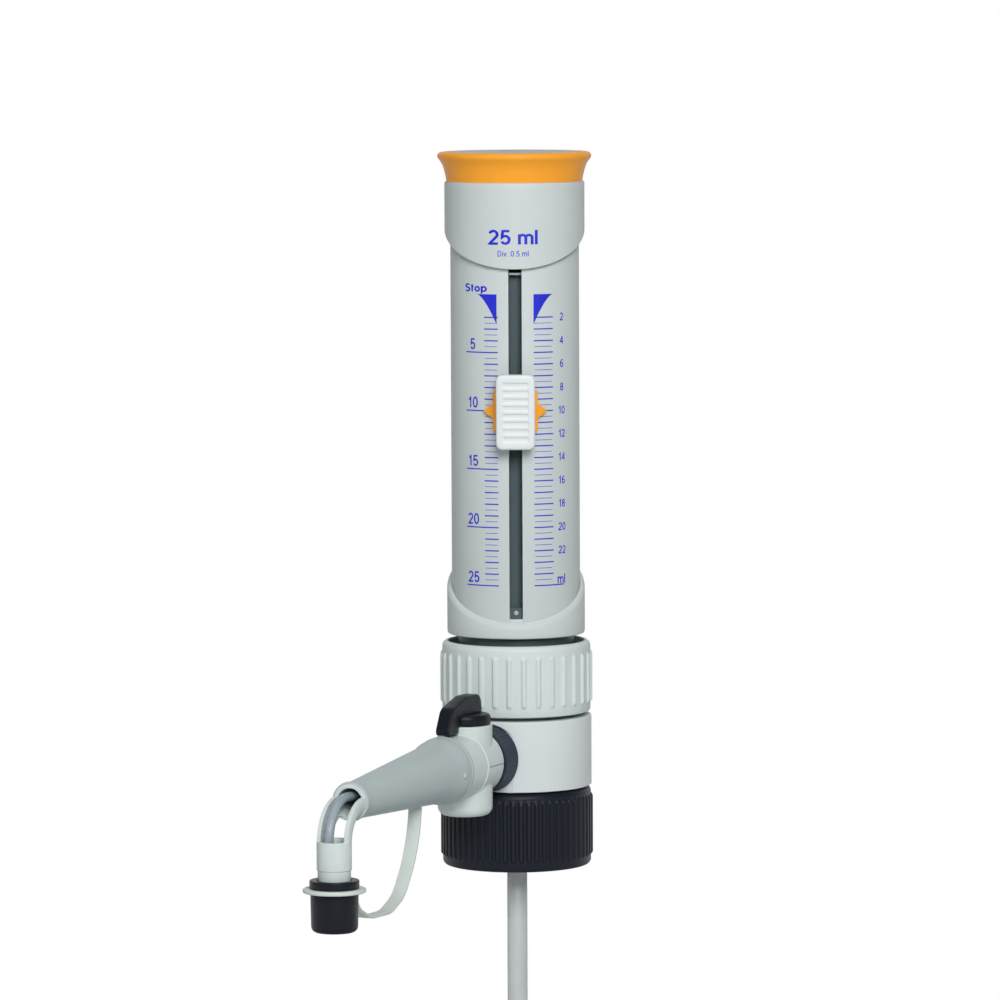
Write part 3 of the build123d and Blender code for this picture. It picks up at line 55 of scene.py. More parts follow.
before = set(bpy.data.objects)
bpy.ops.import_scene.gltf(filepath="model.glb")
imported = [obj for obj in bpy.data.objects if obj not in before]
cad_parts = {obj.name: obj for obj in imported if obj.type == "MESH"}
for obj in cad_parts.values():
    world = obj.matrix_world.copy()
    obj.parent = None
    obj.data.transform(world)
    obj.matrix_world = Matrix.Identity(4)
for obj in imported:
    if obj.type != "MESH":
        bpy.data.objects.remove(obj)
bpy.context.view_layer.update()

MM = 0.001
SPOUT_ANGLE = math.radians(246.0)
SPOUT_OUT = Vector((math.cos(SPOUT_ANGLE), math.sin(SPOUT_ANGLE), 0))
SPOUT_SIDE = Vector((SPOUT_OUT.y, -SPOUT_OUT.x, 0))
UP = Vector((0, 0, 1))
SPOUT_Z = 39.5
SMOOTH_ANGLE = math.radians(32)
JACKET_RADIUS = 17.6
SLEEVE_RADIUS = 22.15
SLEEVE_BORE = 21.0
HEAD_RADIUS = 24.1
FOOT_RADIUS = 23.8
BLOCK_RADIUS = 25.95
NUT_RADIUS = 11.7
NOZZLE_AT = 147.0
TAP_AT = 43.5
SHROUD_START = 61.0
SHROUD_END = 133.6
SHROUD_END_Z = 38.0
ELBOW_BEND = 12.5
INK_PROUD = 0.02


def node_low(node):
    """Lowest corner of a CAD node, in millimetres."""
    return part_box(node)[0] / MM


def node_high(node):
    """Highest corner of a CAD node, in millimetres."""
    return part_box(node)[1] / MM


def outer_radius(node):
    """Radius of a CAD node that is centred on the neck's axis, in millimetres."""
    return round(node_high(node).x, 2)


def from_screen(red, green, blue):
    """A colour as seen on a screen, 0 to 255, turned into the shader's linear values."""
    channels = [channel / 255 for channel in (red, green, blue)]
    return [c / 12.92 if c <= 0.04045 else ((c + 0.055) / 1.055) ** 2.4 for c in channels]


def length_setting(name, description, default):
    """A length that a user can set, given in millimetres."""
    return bpy.props.FloatProperty(name=name, description=description, default=default * MM, unit="LENGTH")


def count_setting(name, description, default, low, high):
    """A number of copies that a user can set."""
    return bpy.props.IntProperty(name=name, description=description, default=default, min=low, max=high)


def colour_setting(name, description, red, green, blue):
    """A colour that a user can set, given as seen on a screen."""
    tone = from_screen(red, green, blue)
    return bpy.props.FloatVectorProperty(name=name, description=description, default=tone, subtype="COLOR")


class DispenserSizes(bpy.types.PropertyGroup):
    """Sizes that a user would change."""

    collar_ribs: count_setting("Collar ribs", "Fine ribs round the screw collar", 60, 12, 120)
    collar_radius: length_setting("Collar radius", "Radius over the collar's ribs", outer_radius("bottle_collar"))
    ring_ribs: count_setting("Ring ribs", "Ribs round the locking ring", 32, 8, 80)
    ring_radius: length_setting("Ring radius", "Radius over the ring's ribs", outer_radius("locking_ring"))
    slot_width: length_setting("Slot width", "Width of the sleeve's slot", 4.25)
    lip_slope: bpy.props.FloatProperty(
        name="Lip slope",
        description="Rise of the head's and the foot's lips towards the back",
        default=math.radians(28.1),
        subtype="ANGLE",
    )
    scale_zero: length_setting("Scale zero", "Height of the scale's zero", 198.6)
    volume_pitch: length_setting("Length of a millilitre", "Distance between two lines of the scale", 4.0)
    full_volume: count_setting("Full volume", "Highest volume on the scale", 25, 5, 50)
    line_width: length_setting("Line width", "Width of the scale's lines", 0.42)
    nut_grooves: count_setting("Nut grooves", "Grooves round the spout's nut", 60, 12, 72)


class DispenserColours(bpy.types.PropertyGroup):
    """Colours of the mouldings and of the print."""

    shell: colour_setting("Shell", "Sleeve, head and foot", 200, 208, 207)
    block: colour_setting("Block", "Valve block", 212, 219, 220)
    ring: colour_setting("Ring", "Locking ring", 208, 219, 216)
    grip: colour_setting("Grip", "Grip ring and pointer", 248, 164, 44)
    black: colour_setting("Black", "Collar, knob, nut and cap", 22, 27, 38)
    jacket: colour_setting("Jacket", "Tube behind the slot", 76, 90, 93)
    button: colour_setting("Button", "Selector button", 222, 227, 228)
    spout: colour_setting("Spout", "Stopcock body and elbow", 206, 216, 214)
    shroud: colour_setting("Shroud", "Tapered jet shroud", 178, 190, 190)
    strap: colour_setting("Strap", "Strap and its ring", 205, 214, 208)
    ink: colour_setting("Ink", "Printed scale", 18, 30, 200)


def sizes():
    return bpy.context.scene.dispenser_sizes


def colours():
    return bpy.context.scene.dispenser_colours


class Value:
    """One number in a shader. Python's operators on it add Math nodes."""

    def __init__(self, finish, socket):
        self.finish = finish
        self.socket = socket

    def math(self, operation, first, second):
        node = self.finish.node("ShaderNodeMath", {"operation": operation}, {0: first, 1: second})
        return Value(self.finish, node.outputs[0])

    def __add__(self, other):
        return self.math("ADD", self, other)

    def __radd__(self, other):
        return self.math("ADD", other, self)

    def __sub__(self, other):
        return self.math("SUBTRACT", self, other)

    def __rsub__(self, other):
        return self.math("SUBTRACT", other, self)

    def __mul__(self, other):
        return self.math("MULTIPLY", self, other)

    def __rmul__(self, other):
        return self.math("MULTIPLY", other, self)

    def __pow__(self, other):
        return self.math("POWER", self, other)

    def clamped(self):
        node = self.finish.node("ShaderNodeClamp", {}, {"Value": self})
        return Value(self.finish, node.outputs[0])

    def between(self, low, high):
        """0 below low, 1 above high and smooth between them."""
        sockets = {"Value": self, "From Min": low, "From Max": high}
        node = self.finish.node("ShaderNodeMapRange", {"interpolation_type": "SMOOTHSTEP"}, sockets)
        return Value(self.finish, node.outputs[0])


class Finish:
    """A material under construction."""

    def __init__(self, name):
        self.material = bpy.data.materials.new(name)
        self.material.use_nodes = True
        self.tree = self.material.node_tree
        self.tree.nodes.clear()
        self.place = self.node("ShaderNodeTexCoord").outputs["Object"]

    def node(self, kind, settings=None, sockets=None):
        """Adds a node: its settings first, and then the values or links of its sockets."""
        made = self.tree.nodes.new(kind)
        for key, value in (settings or {}).items():
            setattr(made, key, value)
        for key, value in (sockets or {}).items():
            if isinstance(value, Value):
                value = value.socket
            if isinstance(value, bpy.types.NodeSocket):
                self.tree.links.new(value, made.inputs[key])
            else:
                made.inputs[key].default_value = value
        return made

    def noise(self, scale, detail=2.0, place=None):
        sockets = {"Vector": place or self.place, "Scale": scale, "Detail": detail}
        return Value(self, self.node("ShaderNodeTexNoise", {}, sockets).outputs["Fac"])

    def stretched(self, x, y, z):
        """The object's own coordinates, scaled along each axis."""
        node = self.node("ShaderNodeVectorMath", {"operation": "MULTIPLY"}, {0: self.place, 1: (x, y, z)})
        return node.outputs[0]

    def part_of(self, axis):
        """One coordinate of the place, in metres."""
        return Value(self, self.node("ShaderNodeSeparateXYZ", {}, {0: self.place}).outputs[axis])

    def mix(self, share, first, second):
        """A colour between two."""
        sockets = {0: share, 6: (*first, 1.0), 7: (*second, 1.0)}
        return self.node("ShaderNodeMix", {"data_type": "RGBA"}, sockets).outputs[2]

    def bump(self, height, strength, distance):
        sockets = {"Height": height, "Strength": strength, "Distance": distance}
        return self.node("ShaderNodeBump", {}, sockets).outputs["Normal"]

    def surface(self, **sockets):
        """The closing shader. Spaces in a socket's name are written as underscores."""
        named = {key.replace("_", " "): value for key, value in sockets.items()}
        shader = self.node("ShaderNodeBsdfPrincipled", {}, named)
        self.node("ShaderNodeOutputMaterial", {}, {"Surface": shader.outputs[0]})
        return self.material


def shade(colour, factor):
    return tuple(min(1.0, c * factor) for c in colour)


def moulded(name, colour, roughness=0.48, grain=0.08, mottle=0.03, specular=0.2, soft=0.0):
    """Injection-moulded plastic: a little cloudy, with a fine spark-eroded grain and handled patches."""
    finish = Finish(name)
    cloud = finish.noise(45.0, 3.0)
    patches = finish.noise(160.0)
    fine = finish.noise(2600.0)
    flow = finish.noise(1.0, place=finish.stretched(420.0, 420.0, 60.0))
    tone = cloud * 0.6 + patches * 0.25 + flow * 0.15
    base = finish.mix(tone, shade(colour, 1 - mottle), shade(colour, 1 + mottle))
    gloss = (patches - 0.5) * 0.14 + (fine - 0.5) * 0.08 + roughness
    height = fine * 0.7 + finish.noise(900.0, 1.0) * 0.3
    sockets = {"Base_Color": base, "Roughness": gloss.clamped(), "Specular_IOR_Level": specular}
    if soft:
        sockets.update(Subsurface_Weight=soft, Subsurface_Radius=(0.002, 0.002, 0.002), Subsurface_Scale=1.0)
    return finish.surface(Normal=finish.bump(height, grain, 0.0002), **sockets)


def clear_plastic(name, colour, roughness, clearness):
    """Milky fluoroplastic tube: partly clear, drawn lengthwise, with faint streaks."""
    finish = Finish(name)
    streaks = finish.noise(1.0, place=finish.stretched(900.0, 900.0, 40.0))
    cloud = finish.noise(220.0)
    base = finish.mix(streaks * 0.5 + cloud * 0.5, shade(colour, 0.93), shade(colour, 1.05))
    return finish.surface(
        Base_Color=base,
        Roughness=(roughness + (cloud - 0.5) * 0.1).clamped(),
        Normal=finish.bump(streaks, 0.1, 0.0002),
        Transmission_Weight=clearness,
        IOR=1.35,
    )


def clear_glass(name):
    """Drawn borosilicate glass, with faint haze."""
    finish = Finish(name)
    haze = finish.noise(180.0, 3.0)
    base = finish.mix(haze, (0.9, 0.95, 0.94), (0.97, 0.99, 0.99))
    return finish.surface(Base_Color=base, Roughness=haze * 0.05 + 0.02, Transmission_Weight=0.95, IOR=1.47)


def turned_steel(name):
    """Stainless steel with fine turning lines."""
    finish = Finish(name)
    lines = finish.noise(1.0, 3.0, place=finish.stretched(300.0, 300.0, 9000.0))
    base = finish.mix(lines, (0.52, 0.53, 0.54), (0.68, 0.69, 0.7))
    bump = finish.bump(lines, 0.2, 0.0001)
    return finish.surface(Base_Color=base, Metallic=1.0, Roughness=lines * 0.16 + 0.22, Normal=bump)


def printed_ink(name, colour):
    """Screen-printed ink with a slightly uneven edge density."""
    finish = Finish(name)
    body = finish.noise(1800.0, 3.0)
    base = finish.mix(body, shade(colour, 0.86), shade(colour, 1.15))
    bump = finish.bump(body, 0.15, 0.00005)
    return finish.surface(Base_Color=base, Roughness=body * 0.2 + 0.4, Normal=bump)


FINISHES = {}


def finish_named(name):
    """Materials are made once, when a piece first asks for them."""
    if name not in FINISHES:
        tone = colours()
        makers = {
            "shell_grey": lambda: moulded(name, tone.shell),
            "block_light": lambda: moulded(name, tone.block, 0.46, 0.1),
            "ring_pale": lambda: moulded(name, tone.ring),
            "grip_orange": lambda: moulded(name, tone.grip, 0.44, mottle=0.04, specular=0.25),
            "collar_black": lambda: moulded(name, tone.black, 0.45, 0.12, 0.15, 0.22),
            "cap_black": lambda: moulded(name, shade(tone.black, 0.7), 0.4, 0.08, 0.15, 0.22),
            "nut_dark": lambda: moulded(name, shade(tone.black, 2.6), 0.45, 0.1, 0.12, 0.22),
            "jacket_slate": lambda: moulded(name, tone.jacket, 0.4, 0.08, 0.06, 0.25),
            "button_white": lambda: moulded(name, tone.button, 0.36, 0.06, 0.02, 0.35),
            "tap_pale": lambda: moulded(name, tone.spout),
            "shroud_grey": lambda: moulded(name, tone.shroud, mottle=0.035),
            "strap_pale": lambda: moulded(name, tone.strap, 0.52, 0.1, 0.04, 0.25),
            "disc_grey": lambda: moulded(name, from_screen(165, 176, 179), 0.45, 0.12, 0.04, 0.3),
            "seal_white": lambda: moulded(name, from_screen(238, 238, 234), 0.45, 0.06, 0.03, 0.5, 0.1),
            "valve_clear": lambda: moulded(name, from_screen(226, 232, 232), 0.25, 0.05, 0.03, 0.5, 0.3),
            "tube_clear": lambda: clear_plastic(name, from_screen(236, 240, 241), 0.22, 0.55),
            "tube_blue": lambda: clear_plastic(name, from_screen(176, 190, 200), 0.25, 0.35),
            "glass": lambda: clear_glass(name),
            "ball_glass": lambda: clear_glass(name),
            "steel": lambda: turned_steel(name),
            "ink": lambda: printed_ink(name, tone.ink),
        }
        FINISHES[name] = makers[name]()
    return FINISHES[name]


def rounded(corners, arc_steps=5, closed=True):
    """Corners given as (x, y) or (x, y, radius) with each radius drawn as an arc."""
    points = []
    count = len(corners)
    for index, corner in enumerate(corners):
        here = Vector(corner[:2])
        radius = corner[2] if len(corner) > 2 else 0
        if not radius or (not closed and index in (0, count - 1)):
            points.append(tuple(here))
            continue
        before = (Vector(corners[index - 1][:2]) - here).normalized()
        after = (Vector(corners[(index + 1) % count][:2]) - here).normalized()
        half = before.angle(after) / 2
        reach = radius / math.tan(half)
        middle = here + (before + after).normalized() * radius / math.sin(half)
        start = here + before * reach - middle
        end = here + after * reach - middle
        sweep = start.angle_signed(end)
        for step in range(arc_steps + 1):
            turn = Matrix.Rotation(-sweep * step / arc_steps, 2)
            points.append(tuple(middle + turn @ start))
    return points


def placed_object(name, data):
    """A new object in the scene that holds the data."""
    made = bpy.data.objects.new(name, data)
    bpy.context.scene.collection.objects.link(made)
    return made


def mesh_from(name, points, faces):
    """A mesh from points in millimetres."""
    mesh = bpy.data.meshes.new(name)
    mesh.from_pydata([tuple(c * MM for c in p) for p in points], [], faces)
    return mesh


def bare_piece(name, points, faces):
    """A clean mesh object from points in millimetres, still without looks and body."""
    mesh = mesh_from(name, points, faces)
    clean = bmesh.new()
    clean.from_mesh(mesh)
    bmesh.ops.remove_doubles(clean, verts=clean.verts, dist=0.5e-6)
    bmesh.ops.recalc_face_normals(clean, faces=clean.faces)
    clean.to_mesh(mesh)
    clean.free()
    return placed_object(name, mesh)


def give_looks(piece, finish):
    """Gives a finished mesh its shading and its material."""
    mesh = piece.data
    mesh.shade_smooth()
    mesh.set_sharp_from_angle(angle=SMOOTH_ANGLE)
    mesh.materials.clear()
    mesh.materials.append(finish_named(finish))


def dress(piece, finish, body, stands_for=()):
    """Gives a finished mesh its looks, the body it rides on and the CAD nodes it stands for."""
    give_looks(piece, finish)
    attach(piece, body)
    if stands_for:
        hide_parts(*stands_for)
    return piece


def piece_from(name, points, faces, finish, body, stands_for=()):
    """A dressed piece from points in millimetres."""
    return dress(bare_piece(name, points, faces), finish, body, stands_for)


def lathe_mesh(profile, steps, shape=None):
    """Points and faces of a closed profile turned about Z. shape may move each (angle, r, z)."""
    points, faces = [], []
    count = len(profile)
    for step in range(steps):
        angle = 2 * math.pi * step / steps
        for radius, height in profile:
            r, z = shape(angle, radius, height) if shape else (radius, height)
            points.append((r * math.cos(angle), r * math.sin(angle), z))
    for step in range(steps):
        here, there = step * count, (step + 1) % steps * count
        for index in range(count):
            after = (index + 1) % count
            on_axis = profile[index][0] == 0, profile[after][0] == 0
            if all(on_axis):
                continue
            corners = [here + index, there + index, there + after, here + after]
            if on_axis[0]:
                corners = [here + index, there + after, here + after]
            elif on_axis[1]:
                corners = [here + index, there + index, here + after]
            faces.append(corners)
    return points, faces


def side_view(along, height, side=0.0):
    """A point given by its distance out along the spout, its height and its offset sideways."""
    return SPOUT_OUT * along + SPOUT_SIDE * side + UP * height


def level(x, y, z):
    """A point of a slab whose outline lies level and whose depth runs up."""
    return x, y, z


def upright(x, z, y):
    """A point of a slab whose outline stands upright and whose depth runs back."""
    return x, y, z


def laid(points):
    """Points turned about Z, laid down so that Z runs out along the spout."""
    return [tuple(side_view(z, x + SPOUT_Z, -y)) for x, y, z in points]


def moved(points, along):
    """Points shifted out along the spout."""
    return [tuple(Vector(p) + SPOUT_OUT * along) for p in points]


def on_tap(points):
    """Points turned about Z, shifted to the stopcock's axis."""
    return moved(points, TAP_AT)


def on_nozzle(points):
    """Points turned about Z, shifted to the nozzle's axis."""
    return moved(points, NOZZLE_AT)


def turned_piece(name, corners, finish, body, stands_for=(), steps=192, shape=None, place=None):
    """A dressed piece turned about Z, which shape may ripple and place may put elsewhere."""
    points, faces = lathe_mesh(rounded(corners), steps, shape)
    return piece_from(name, place(points) if place else points, faces, finish, body, stands_for)


def tool_from(points, faces):
    """A mesh that is cut to its form, or that cuts or joins another."""
    return bare_piece("tool", points, faces)


def turned_tool(corners, steps, place=None, arc_steps=5):
    """Such a mesh turned about Z. Corners without a radius are used as they are."""
    profile = rounded(corners, arc_steps) if any(len(corner) > 2 for corner in corners) else corners
    points, faces = lathe_mesh(profile, steps)
    return tool_from(place(points) if place else points, faces)


def rectangle(x0, x1, y0, y1, *radius):
    """Corners of a rectangle, with or without a radius."""
    return [(x, y, *radius) for x, y in ((x0, y0), (x1, y0), (x1, y1), (x0, y1))]


def slab_mesh(outline, low, high, point):
    """A prism: point(x, y, depth) places each outline corner at the depths low and high."""
    count = len(outline)
    points = [tuple(point(x, y, low)) for x, y in outline] + [tuple(point(x, y, high)) for x, y in outline]
    faces = [list(range(count)), list(range(count, 2 * count))]
    faces += [[i, (i + 1) % count, (i + 1) % count + count, i + count] for i in range(count)]
    return points, faces


def slab_tool(outline, low, high, point):
    return tool_from(*slab_mesh(outline, low, high, point))


def box_mesh(x0, x1, y0, y1, z0, z1):
    return slab_mesh(rectangle(x0, x1, y0, y1), z0, z1, level)


def applied(piece, kind, **settings):
    """Adds a modifier, applies it and returns the piece."""
    modifier = piece.modifiers.new(kind.lower(), kind)
    for key, value in settings.items():
        setattr(modifier, key, value)
    graph = bpy.context.evaluated_depsgraph_get()
    graph.update()
    result = bpy.data.meshes.new_from_object(piece.evaluated_get(graph))
    piece.modifiers.clear()
    old = piece.data
    piece.data = result
    bpy.data.meshes.remove(old)
    return piece


def combine(piece, tool, operation="DIFFERENCE"):
    """Cuts a tool from a piece, or joins or intersects them, and removes the tool."""
    applied(piece, "BOOLEAN", object=tool, operation=operation, solver="EXACT")
    spare = tool.data
    bpy.data.objects.remove(tool)
    bpy.data.meshes.remove(spare)
    return piece


def soften(piece, width, segments=2, angle=32):
    """Rounds the sharp edges."""
    return applied(
        piece,
        "BEVEL",
        width=width * MM,
        segments=segments,
        limit_method="ANGLE",
        angle_limit=math.radians(angle),
        harden_normals=False,
        miter_outer="MITER_ARC",
        use_clamp_overlap=True,
    )


def complete(piece, name, finish, body, node, bevel=0.0, angle=40):
    """Softens the edges of a cut piece, names it and dresses it in place of its CAD node."""
    if bevel:
        soften(piece, bevel, 2, angle)
    piece.name = name
    dress(piece, finish, body, [node])


def smoothstep(low, high, value):
    t = min(1.0, max(0.0, (value - low) / (high - low)))
    return t * t * (3 - 2 * t)


def ridge(angle, count, share, edge):
    """1 on a ridge's crest and 0 between ridges, with rounded flanks."""
    away = abs(angle * count / (2 * math.pi) % 1 - 0.5)
    return 1 - smoothstep(share / 2 - edge, share / 2 + edge, away)


def skin(rings):
    """Points and faces of rings of points, joined in order and closed at both ends."""
    count = len(rings[0])
    last = count * (len(rings) - 1)
    faces = [
        [start + i, start + (i + 1) % count, start + count + (i + 1) % count, start + count + i]
        for start in range(0, last, count)
        for i in range(count)
    ]
    faces += [list(range(count)), list(range(last, last + count))]
    return [point for ring in rings for point in ring], faces


def pipe_mesh(path, radius, sides=32, section=None):
    """A rod along a flat path in the spout's plane, given as (along, height). It is round, with one radius or
    one for each point of the path, or it has a section of its own."""
    radii = radius if isinstance(radius, list) else [radius] * len(path)
    turns = [2 * math.pi * i / sides for i in range(sides)]
    rings = []
    for index, (along, height) in enumerate(path):
        before = Vector(path[max(index - 1, 0)])
        after = Vector(path[min(index + 1, len(path) - 1)])
        ahead = (after - before).normalized()
        across = Vector((-ahead.y, ahead.x))
        outline = section or [(radii[index] * math.cos(t), radii[index] * math.sin(t)) for t in turns]
        rings.append(
            [tuple(side_view(along + across.x * off, height + across.y * off, side)) for off, side in outline]
        )
    return skin(rings)


def pipe_tool(path, radius, sides=32):
    return tool_from(*pipe_mesh(path, radius, sides))


def arc(centre, radius, start, end, steps):
    """Points on an arc in the spout's plane, angles in degrees."""
    angles = [math.radians(start + (end - start) * i / steps) for i in range(steps + 1)]
    return [(centre[0] + radius * math.cos(a), centre[1] + radius * math.sin(a)) for a in angles]


def helix_ridge(radius, depth, pitch, low, high, width, steps_per_turn=96):
    """A screw thread's ridge on the inside of a bore, fading out at both ends."""
    fade_steps, root = 14, radius + 0.2
    steps = round((high - low) / pitch * steps_per_turn)
    rings = []
    for step in range(steps + 1):
        angle = 2 * math.pi * step / steps_per_turn
        height = low + pitch * step / steps_per_turn
        crest = radius - depth * min(1.0, step / fade_steps, (steps - step) / fade_steps)
        section = ((root, -width / 2), (crest, -width / 5), (crest, width / 5), (root, width / 2))
        rings.append([(r * math.cos(angle), r * math.sin(angle), height + rise) for r, rise in section])
    return skin(rings)


def bow(x, y, width, height, start, end, steps=16):
    """Points on part of an oval, angles in degrees."""
    angles = [math.radians(start + (end - start) * i / steps) for i in range(steps + 1)]
    return [(x + width * math.cos(a), y + height * math.sin(a)) for a in angles]


def letter_strokes(letter):
    """Width and pen strokes of a letter whose capitals are 1 high."""
    if letter == "9":
        width, strokes = letter_strokes("6")
        return width, [[(width - x, 0.98 - y) for x, y in stroke] for stroke in strokes]
    shapes = {
        " ": (0.2, []),
        ".": (0.14, [[(0.07, 0.0), (0.07, 0.13)]]),
        "0": (0.56, [bow(0.28, 0.49, 0.22, 0.43, 0, 360, 28)]),
        "1": (0.4, [[(0.04, 0.72), (0.16, 0.77), (0.26, 0.94), (0.26, 0.0)]]),
        "2": (0.56, [bow(0.28, 0.68, 0.22, 0.24, 165, -38) + [(0.06, 0.06), (0.54, 0.06)]]),
        "3": (0.56, [bow(0.27, 0.71, 0.19, 0.21, 160, -90) + bow(0.27, 0.28, 0.22, 0.22, 90, -160)]),
        "4": (0.58, [[(0.42, 0.0), (0.42, 0.92), (0.05, 0.28), (0.58, 0.28)]]),
        "5": (0.56, [[(0.51, 0.91), (0.14, 0.91), (0.09, 0.46)] + bow(0.28, 0.32, 0.22, 0.26, 128, -155)]),
        "6": (0.56, [bow(0.29, 0.31, 0.21, 0.25, 0, 360, 28), bow(0.34, 0.42, 0.27, 0.5, 62, 195)]),
        "7": (0.54, [[(0.04, 0.91), (0.49, 0.91), (0.19, 0.0)]]),
        "8": (0.56, [bow(0.28, 0.71, 0.18, 0.2, 0, 360, 28), bow(0.28, 0.28, 0.22, 0.22, 0, 360, 28)]),
        "m": (
            0.84,
            [
                [(0.07, 0.0), (0.07, 0.7)],
                bow(0.25, 0.46, 0.18, 0.18, 180, 0) + [(0.43, 0.0)],
                bow(0.61, 0.46, 0.18, 0.18, 180, 0) + [(0.79, 0.0)],
            ],
        ),
        "l": (0.14, [[(0.07, 0.0), (0.07, 0.98)]]),
        "i": (0.14, [[(0.07, 0.0), (0.07, 0.68)], [(0.07, 0.85), (0.07, 0.98)]]),
        "v": (0.5, [[(0.04, 0.68), (0.25, 0.06), (0.46, 0.68)]]),
        "t": (
            0.3,
            [
                [(0.13, 0.9), (0.13, 0.16)] + bow(0.23, 0.16, 0.1, 0.1, 180, 270, 6),
                [(0.0, 0.63), (0.29, 0.63)],
            ],
        ),
        "o": (0.56, [bow(0.28, 0.34, 0.21, 0.28, 0, 360, 28)]),
        "p": (0.58, [[(0.07, -0.25), (0.07, 0.68)], bow(0.3, 0.34, 0.21, 0.28, 0, 360, 28)]),
        "D": (
            0.66,
            [[(0.08, 0.06), (0.08, 0.92), (0.28, 0.92)] + bow(0.28, 0.49, 0.3, 0.43, 90, -90) + [(0.02, 0.06)]],
        ),
        "S": (0.6, [bow(0.3, 0.71, 0.21, 0.21, 22, 270) + bow(0.3, 0.28, 0.23, 0.22, 90, -158)]),
    }
    return shapes[letter]


def pen_stroke(line, pen):
    """Points and faces of a stroke of constant width along a line, mitred at its corners."""
    corners = [Vector(point) for point in line]
    line = corners[:1]
    for corner in corners[1:]:
        last = line[-1]
        steps = math.ceil((corner - last).length / 0.12)
        line += [last.lerp(corner, step / steps) for step in range(1, steps + 1)]
    closed = (line[0] - line[-1]).length < 1e-4
    if closed:
        line.pop()
    count = len(line)
    points = []
    for index, here in enumerate(line):
        before = line[index - 1] if index or closed else here
        after = line[(index + 1) % count] if index + 1 < count or closed else here
        along_in, along_out = (here - before).normalized(), (after - here).normalized()
        along = (along_in + along_out).normalized()
        known = along_out if along_out.length else along_in
        reach = pen / 2 / max(0.5, abs(along.dot(known)))
        side = Vector((-along.y, along.x)) * reach
        points += [here + side, here - side]
    spans = count if closed else count - 1
    faces = []
    for index in range(spans):
        low, high = 2 * index, 2 * ((index + 1) % count)
        faces.append([low, low + 1, high + 1, high])
    return points, faces


def wrapped_text(body_text, arc_at, height, capital, radius, width=None, pen=0.15):
    """Pen-stroke text wrapped on a cylinder, centred at an arc length and a height."""
    gap = 0.12
    at, parts = 0.0, []
    for letter in body_text:
        advance, strokes = letter_strokes(letter)
        for stroke in strokes:
            parts.append(pen_stroke([(at + x, y) for x, y in stroke], pen))
        at += advance + gap
    points, faces = joined(parts)
    total = at - gap
    across = width / total if width else capital
    wrapped = []
    for x, y in points:
        angle = (arc_at + (x - total / 2) * across) / radius
        wrapped.append((radius * math.sin(angle), -radius * math.cos(angle), height + (y - 0.5) * capital))
    return wrapped, faces


def wrapped_strip(edges, radius):
    """A thin printed strip on a cylinder, from the angle and the two heights of each of its upright edges."""
    points = [(radius * math.sin(a), -radius * math.cos(a), z) for a, *heights in edges for z in heights]
    return points, [[i, i + 2, i + 3, i + 1] for i in range(0, len(points) - 2, 2)]


def wrapped_patch(x0, x1, z0, z1, radius, columns=12):
    """A thin printed patch on a cylinder between two offsets from the middle of its front."""
    start, end = math.asin(x0 / radius), math.asin(x1 / radius)
    return wrapped_strip([(start + (end - start) * i / columns, z0, z1) for i in range(columns + 1)], radius)


def joined(parts):
    """Several (points, faces) as one."""
    points, faces = [], []
    for more_points, more_faces in parts:
        faces += [[index + len(points) for index in face] for face in more_faces]
        points += more_points
    return points, faces


def print_piece(name, parts, body):
    """Ink is a very thin layer that stands just proud of what it is printed on."""
    mesh = mesh_from(name, *joined(parts))
    piece = placed_object(name, mesh)
    for face in mesh.polygons:
        if face.normal.dot(Vector((face.center.x, face.center.y, 0))) < 0:
            face.flip()
    mesh.update()
    return dress(piece, "ink", body)


class Builder(bpy.types.Operator):
    """Common ground of the operators that build a group of pieces"""

    bl_options = {"REGISTER", "UNDO"}

    def execute(self, context):
        self.build()
        return {"FINISHED"}


class DISPENSER_OT_collar(Builder):
    """Build the screw collar with its ribs and neck thread"""

    bl_idname = "dispenser.collar"
    bl_label = "Screw Collar"

    def build(self):
        crest = sizes().collar_radius / MM
        top = node_high("bottle_collar").z
        height, low, high = 0.7, 3.2, top - 2.4
        core = crest - height
        count = sizes().collar_ribs

        def ribbed(angle, r, z):
            if r < core - 0.05 or not low <= z <= high:
                return r, z
            ends = smoothstep(low, low + 0.9, z) * (1 - smoothstep(high - 1.4, high, z))
            return r + height * ends * ridge(angle, count, 0.55, 0.1), z

        wall = [low, low + 0.3, low + 0.6, low + 0.9, low + 1.2]
        wall += [high - 1.8, high - 1.4, high - 0.9, high - 0.45, high]
        corners = [(22.65, 0.5), (23.15, 0), (core - 1.3, 0), (core - 0.75, 0.22), (core - 0.3, 0.7), (core, 1.4)]
        corners += [(core, z) for z in wall]
        corners += [(core, top - 1.7, 0.1), (core - 0.35, top - 0.75), (core - 1.1, top - 0.15), (core - 1.8, top)]
        corners += [(17.2, top), (17.0, top - 0.2), (17.0, 24.6), (22.3, 24.6), (22.65, 24.2)]
        turned_piece("collar_shell", corners, "collar_black", "collar", ["bottle_collar"], count * 12, ribbed)
        points, faces = helix_ridge(22.65, 1.25, 4.0, 2.4, 14.4, 3.0)
        piece_from("collar_thread", points, faces, "collar_black", "collar")


